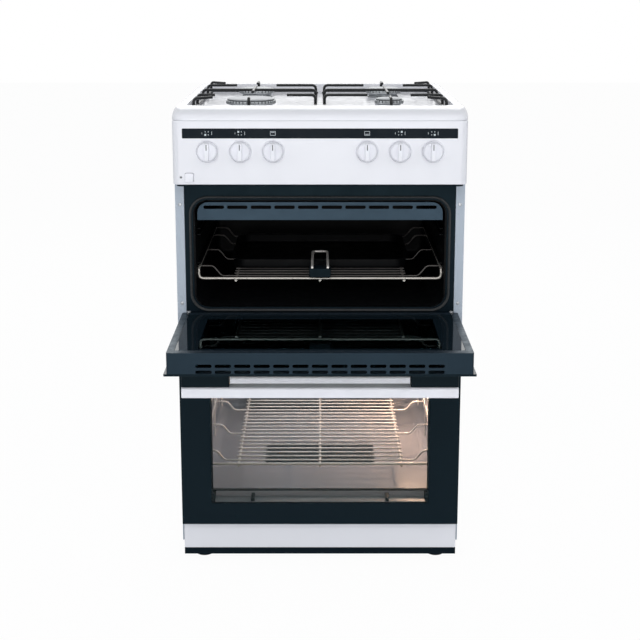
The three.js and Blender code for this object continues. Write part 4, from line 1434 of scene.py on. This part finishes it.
class RANGE_OT_stage(Operator):
    """Pale floor, white surroundings, soft lights and the camera"""
    bl_idname = "gas_range.stage"
    bl_label = "Stage"

    def execute(self, context):
        self.floor()
        self.surroundings(context.scene)
        self.lights()
        self.camera(context.scene)
        context.scene.view_settings.view_transform = "Standard"
        return {"FINISHED"}

    def floor(self):
        rest_all()
        bpy.ops.mesh.primitive_plane_add(size=24, location=(0, 0, -0.0005))
        floor = named("floor")
        finish = Finish("floor_white")
        finish.colour(finish.blend(finish.noise(2), srgb("f4f5f7"), srgb("f7f8fa")))
        finish.fixed(Roughness=0.9, Specular_IOR_Level=0.0)
        self.seen_white(finish, finish.shader.outputs[0], 0.965)
        floor.data.materials.append(finish.material)

    def seen_white(self, finish, surface, share):
        """Lifts a surface towards plain white where it is seen directly, keeping part of the shadow."""
        path = finish.add("ShaderNodeLightPath")
        glow = finish.add("ShaderNodeEmission")
        glow.inputs["Color"].default_value = (1, 1, 1, 1)
        lift = finish.add("ShaderNodeMath", operation="MULTIPLY")
        lift.inputs[1].default_value = share
        finish.join(path.outputs["Is Camera Ray"], lift.inputs[0])
        mix = finish.add("ShaderNodeMixShader")
        finish.join(lift.outputs[0], mix.inputs[0])
        finish.join(surface, mix.inputs[1])
        finish.join(glow.outputs[0], mix.inputs[2])
        finish.join(mix.outputs[0], finish.output.inputs["Surface"])

    def surroundings(self, scene):
        world = bpy.data.worlds.new("white_room")
        world.use_nodes = True
        scene.world = world
        tree = world.node_tree
        output = tree.nodes["World Output"]
        room = tree.nodes["Background"]
        room.inputs["Color"].default_value = (0.95, 0.975, 1.0, 1)
        room.inputs["Strength"].default_value = 0.47
        white = tree.nodes.new("ShaderNodeBackground")
        white.inputs["Color"].default_value = (1, 1, 1, 1)
        white.inputs["Strength"].default_value = 1.0
        path = tree.nodes.new("ShaderNodeLightPath")
        seen = tree.nodes.new("ShaderNodeMath")
        seen.operation = "MAXIMUM"
        tree.links.new(path.outputs["Is Camera Ray"], seen.inputs[0])
        tree.links.new(path.outputs["Is Transmission Ray"], seen.inputs[1])
        both = tree.nodes.new("ShaderNodeMath")
        both.operation = "MAXIMUM"
        tree.links.new(seen.outputs[0], both.inputs[0])
        tree.links.new(path.outputs["Is Glossy Ray"], both.inputs[1])
        mix = tree.nodes.new("ShaderNodeMixShader")
        tree.links.new(both.outputs[0], mix.inputs[0])
        tree.links.new(room.outputs[0], mix.inputs[1])
        tree.links.new(white.outputs[0], mix.inputs[2])
        tree.links.new(mix.outputs[0], output.inputs["Surface"])

    def lights(self):
        """A large soft light above the front, and a weaker one on each side."""
        for name, place, target, size, energy in (
                ("key", (0.0, -2.2, 2.8), (0, 0, 0.5), 2.4, 20),
                ("front_fill", (0.0, -3.0, 0.65), (0, 0, 0.15), 1.4, 18),
                ("left_fill", (-2.6, -1.4, 1.6), (0, 0, 0.45), 1.8, 12),
                ("right_fill", (2.6, -1.4, 1.6), (0, 0, 0.45), 1.8, 12),
                ("rear_fill", (0.0, 2.8, 2.2), (0, 0, 0.5), 2.0, 22)):
            rest_all()
            bpy.ops.object.light_add(type="AREA", location=place)
            lamp = bpy.context.object
            lamp.name = f"{name}_light"
            lamp.data.size = size
            lamp.data.energy = energy
            lamp.rotation_euler = (Vector(target) - Vector(place)).to_track_quat("-Z", "Y").to_euler()

    def camera(self, scene):
        rest_all()
        spot = at(0, -2365, 1127)
        bpy.ops.object.camera_add(location=spot)
        camera = bpy.context.object
        camera.name = "front_camera"
        camera.data.sensor_width = 36
        camera.data.lens = 71.1
        camera.data.shift_y = -0.11
        camera.data.clip_end = 60
        camera.rotation_euler = (math.radians(90 - 11.97), 0, 0)
        scene.camera = camera


class RANGE_PT_pieces(Panel):
    """The range's pieces, finishes and sizes"""
    bl_idname = "RANGE_PT_pieces"
    bl_label = "Gas Range"
    bl_space_type = "VIEW_3D"
    bl_region_type = "UI"
    bl_category = "Gas Range"

    def draw(self, context):
        for operator in OPERATORS:
            self.layout.operator(operator.bl_idname)
        for group in (context.scene.range_sizes, context.scene.range_colours):
            for name in group.__annotations__:
                self.layout.prop(group, name)


OPERATORS = (RANGE_OT_stage, RANGE_OT_body, RANGE_OT_worktop, RANGE_OT_burners, RANGE_OT_pan_supports,
             RANGE_OT_controls, RANGE_OT_ovens, RANGE_OT_shelves, RANGE_OT_doors)
CLASSES = (RangeColours, RangeSizes, *OPERATORS, RANGE_PT_pieces)


def register():
    for kind in CLASSES:
        bpy.utils.register_class(kind)
    bpy.types.Scene.range_colours = PointerProperty(type=RangeColours)
    bpy.types.Scene.range_sizes = PointerProperty(type=RangeSizes)


def unregister():
    del bpy.types.Scene.range_colours
    del bpy.types.Scene.range_sizes
    for kind in reversed(CLASSES):
        bpy.utils.unregister_class(kind)


def main():
    register()
    bpy.ops.gas_range.stage()
    bpy.ops.gas_range.body()
    bpy.ops.gas_range.worktop()
    bpy.ops.gas_range.burners()
    bpy.ops.gas_range.pan_supports()
    bpy.ops.gas_range.controls()
    bpy.ops.gas_range.ovens()
    bpy.ops.gas_range.shelves()
    bpy.ops.gas_range.doors()
    rest_all()


if __name__ == "__main__":
    main()
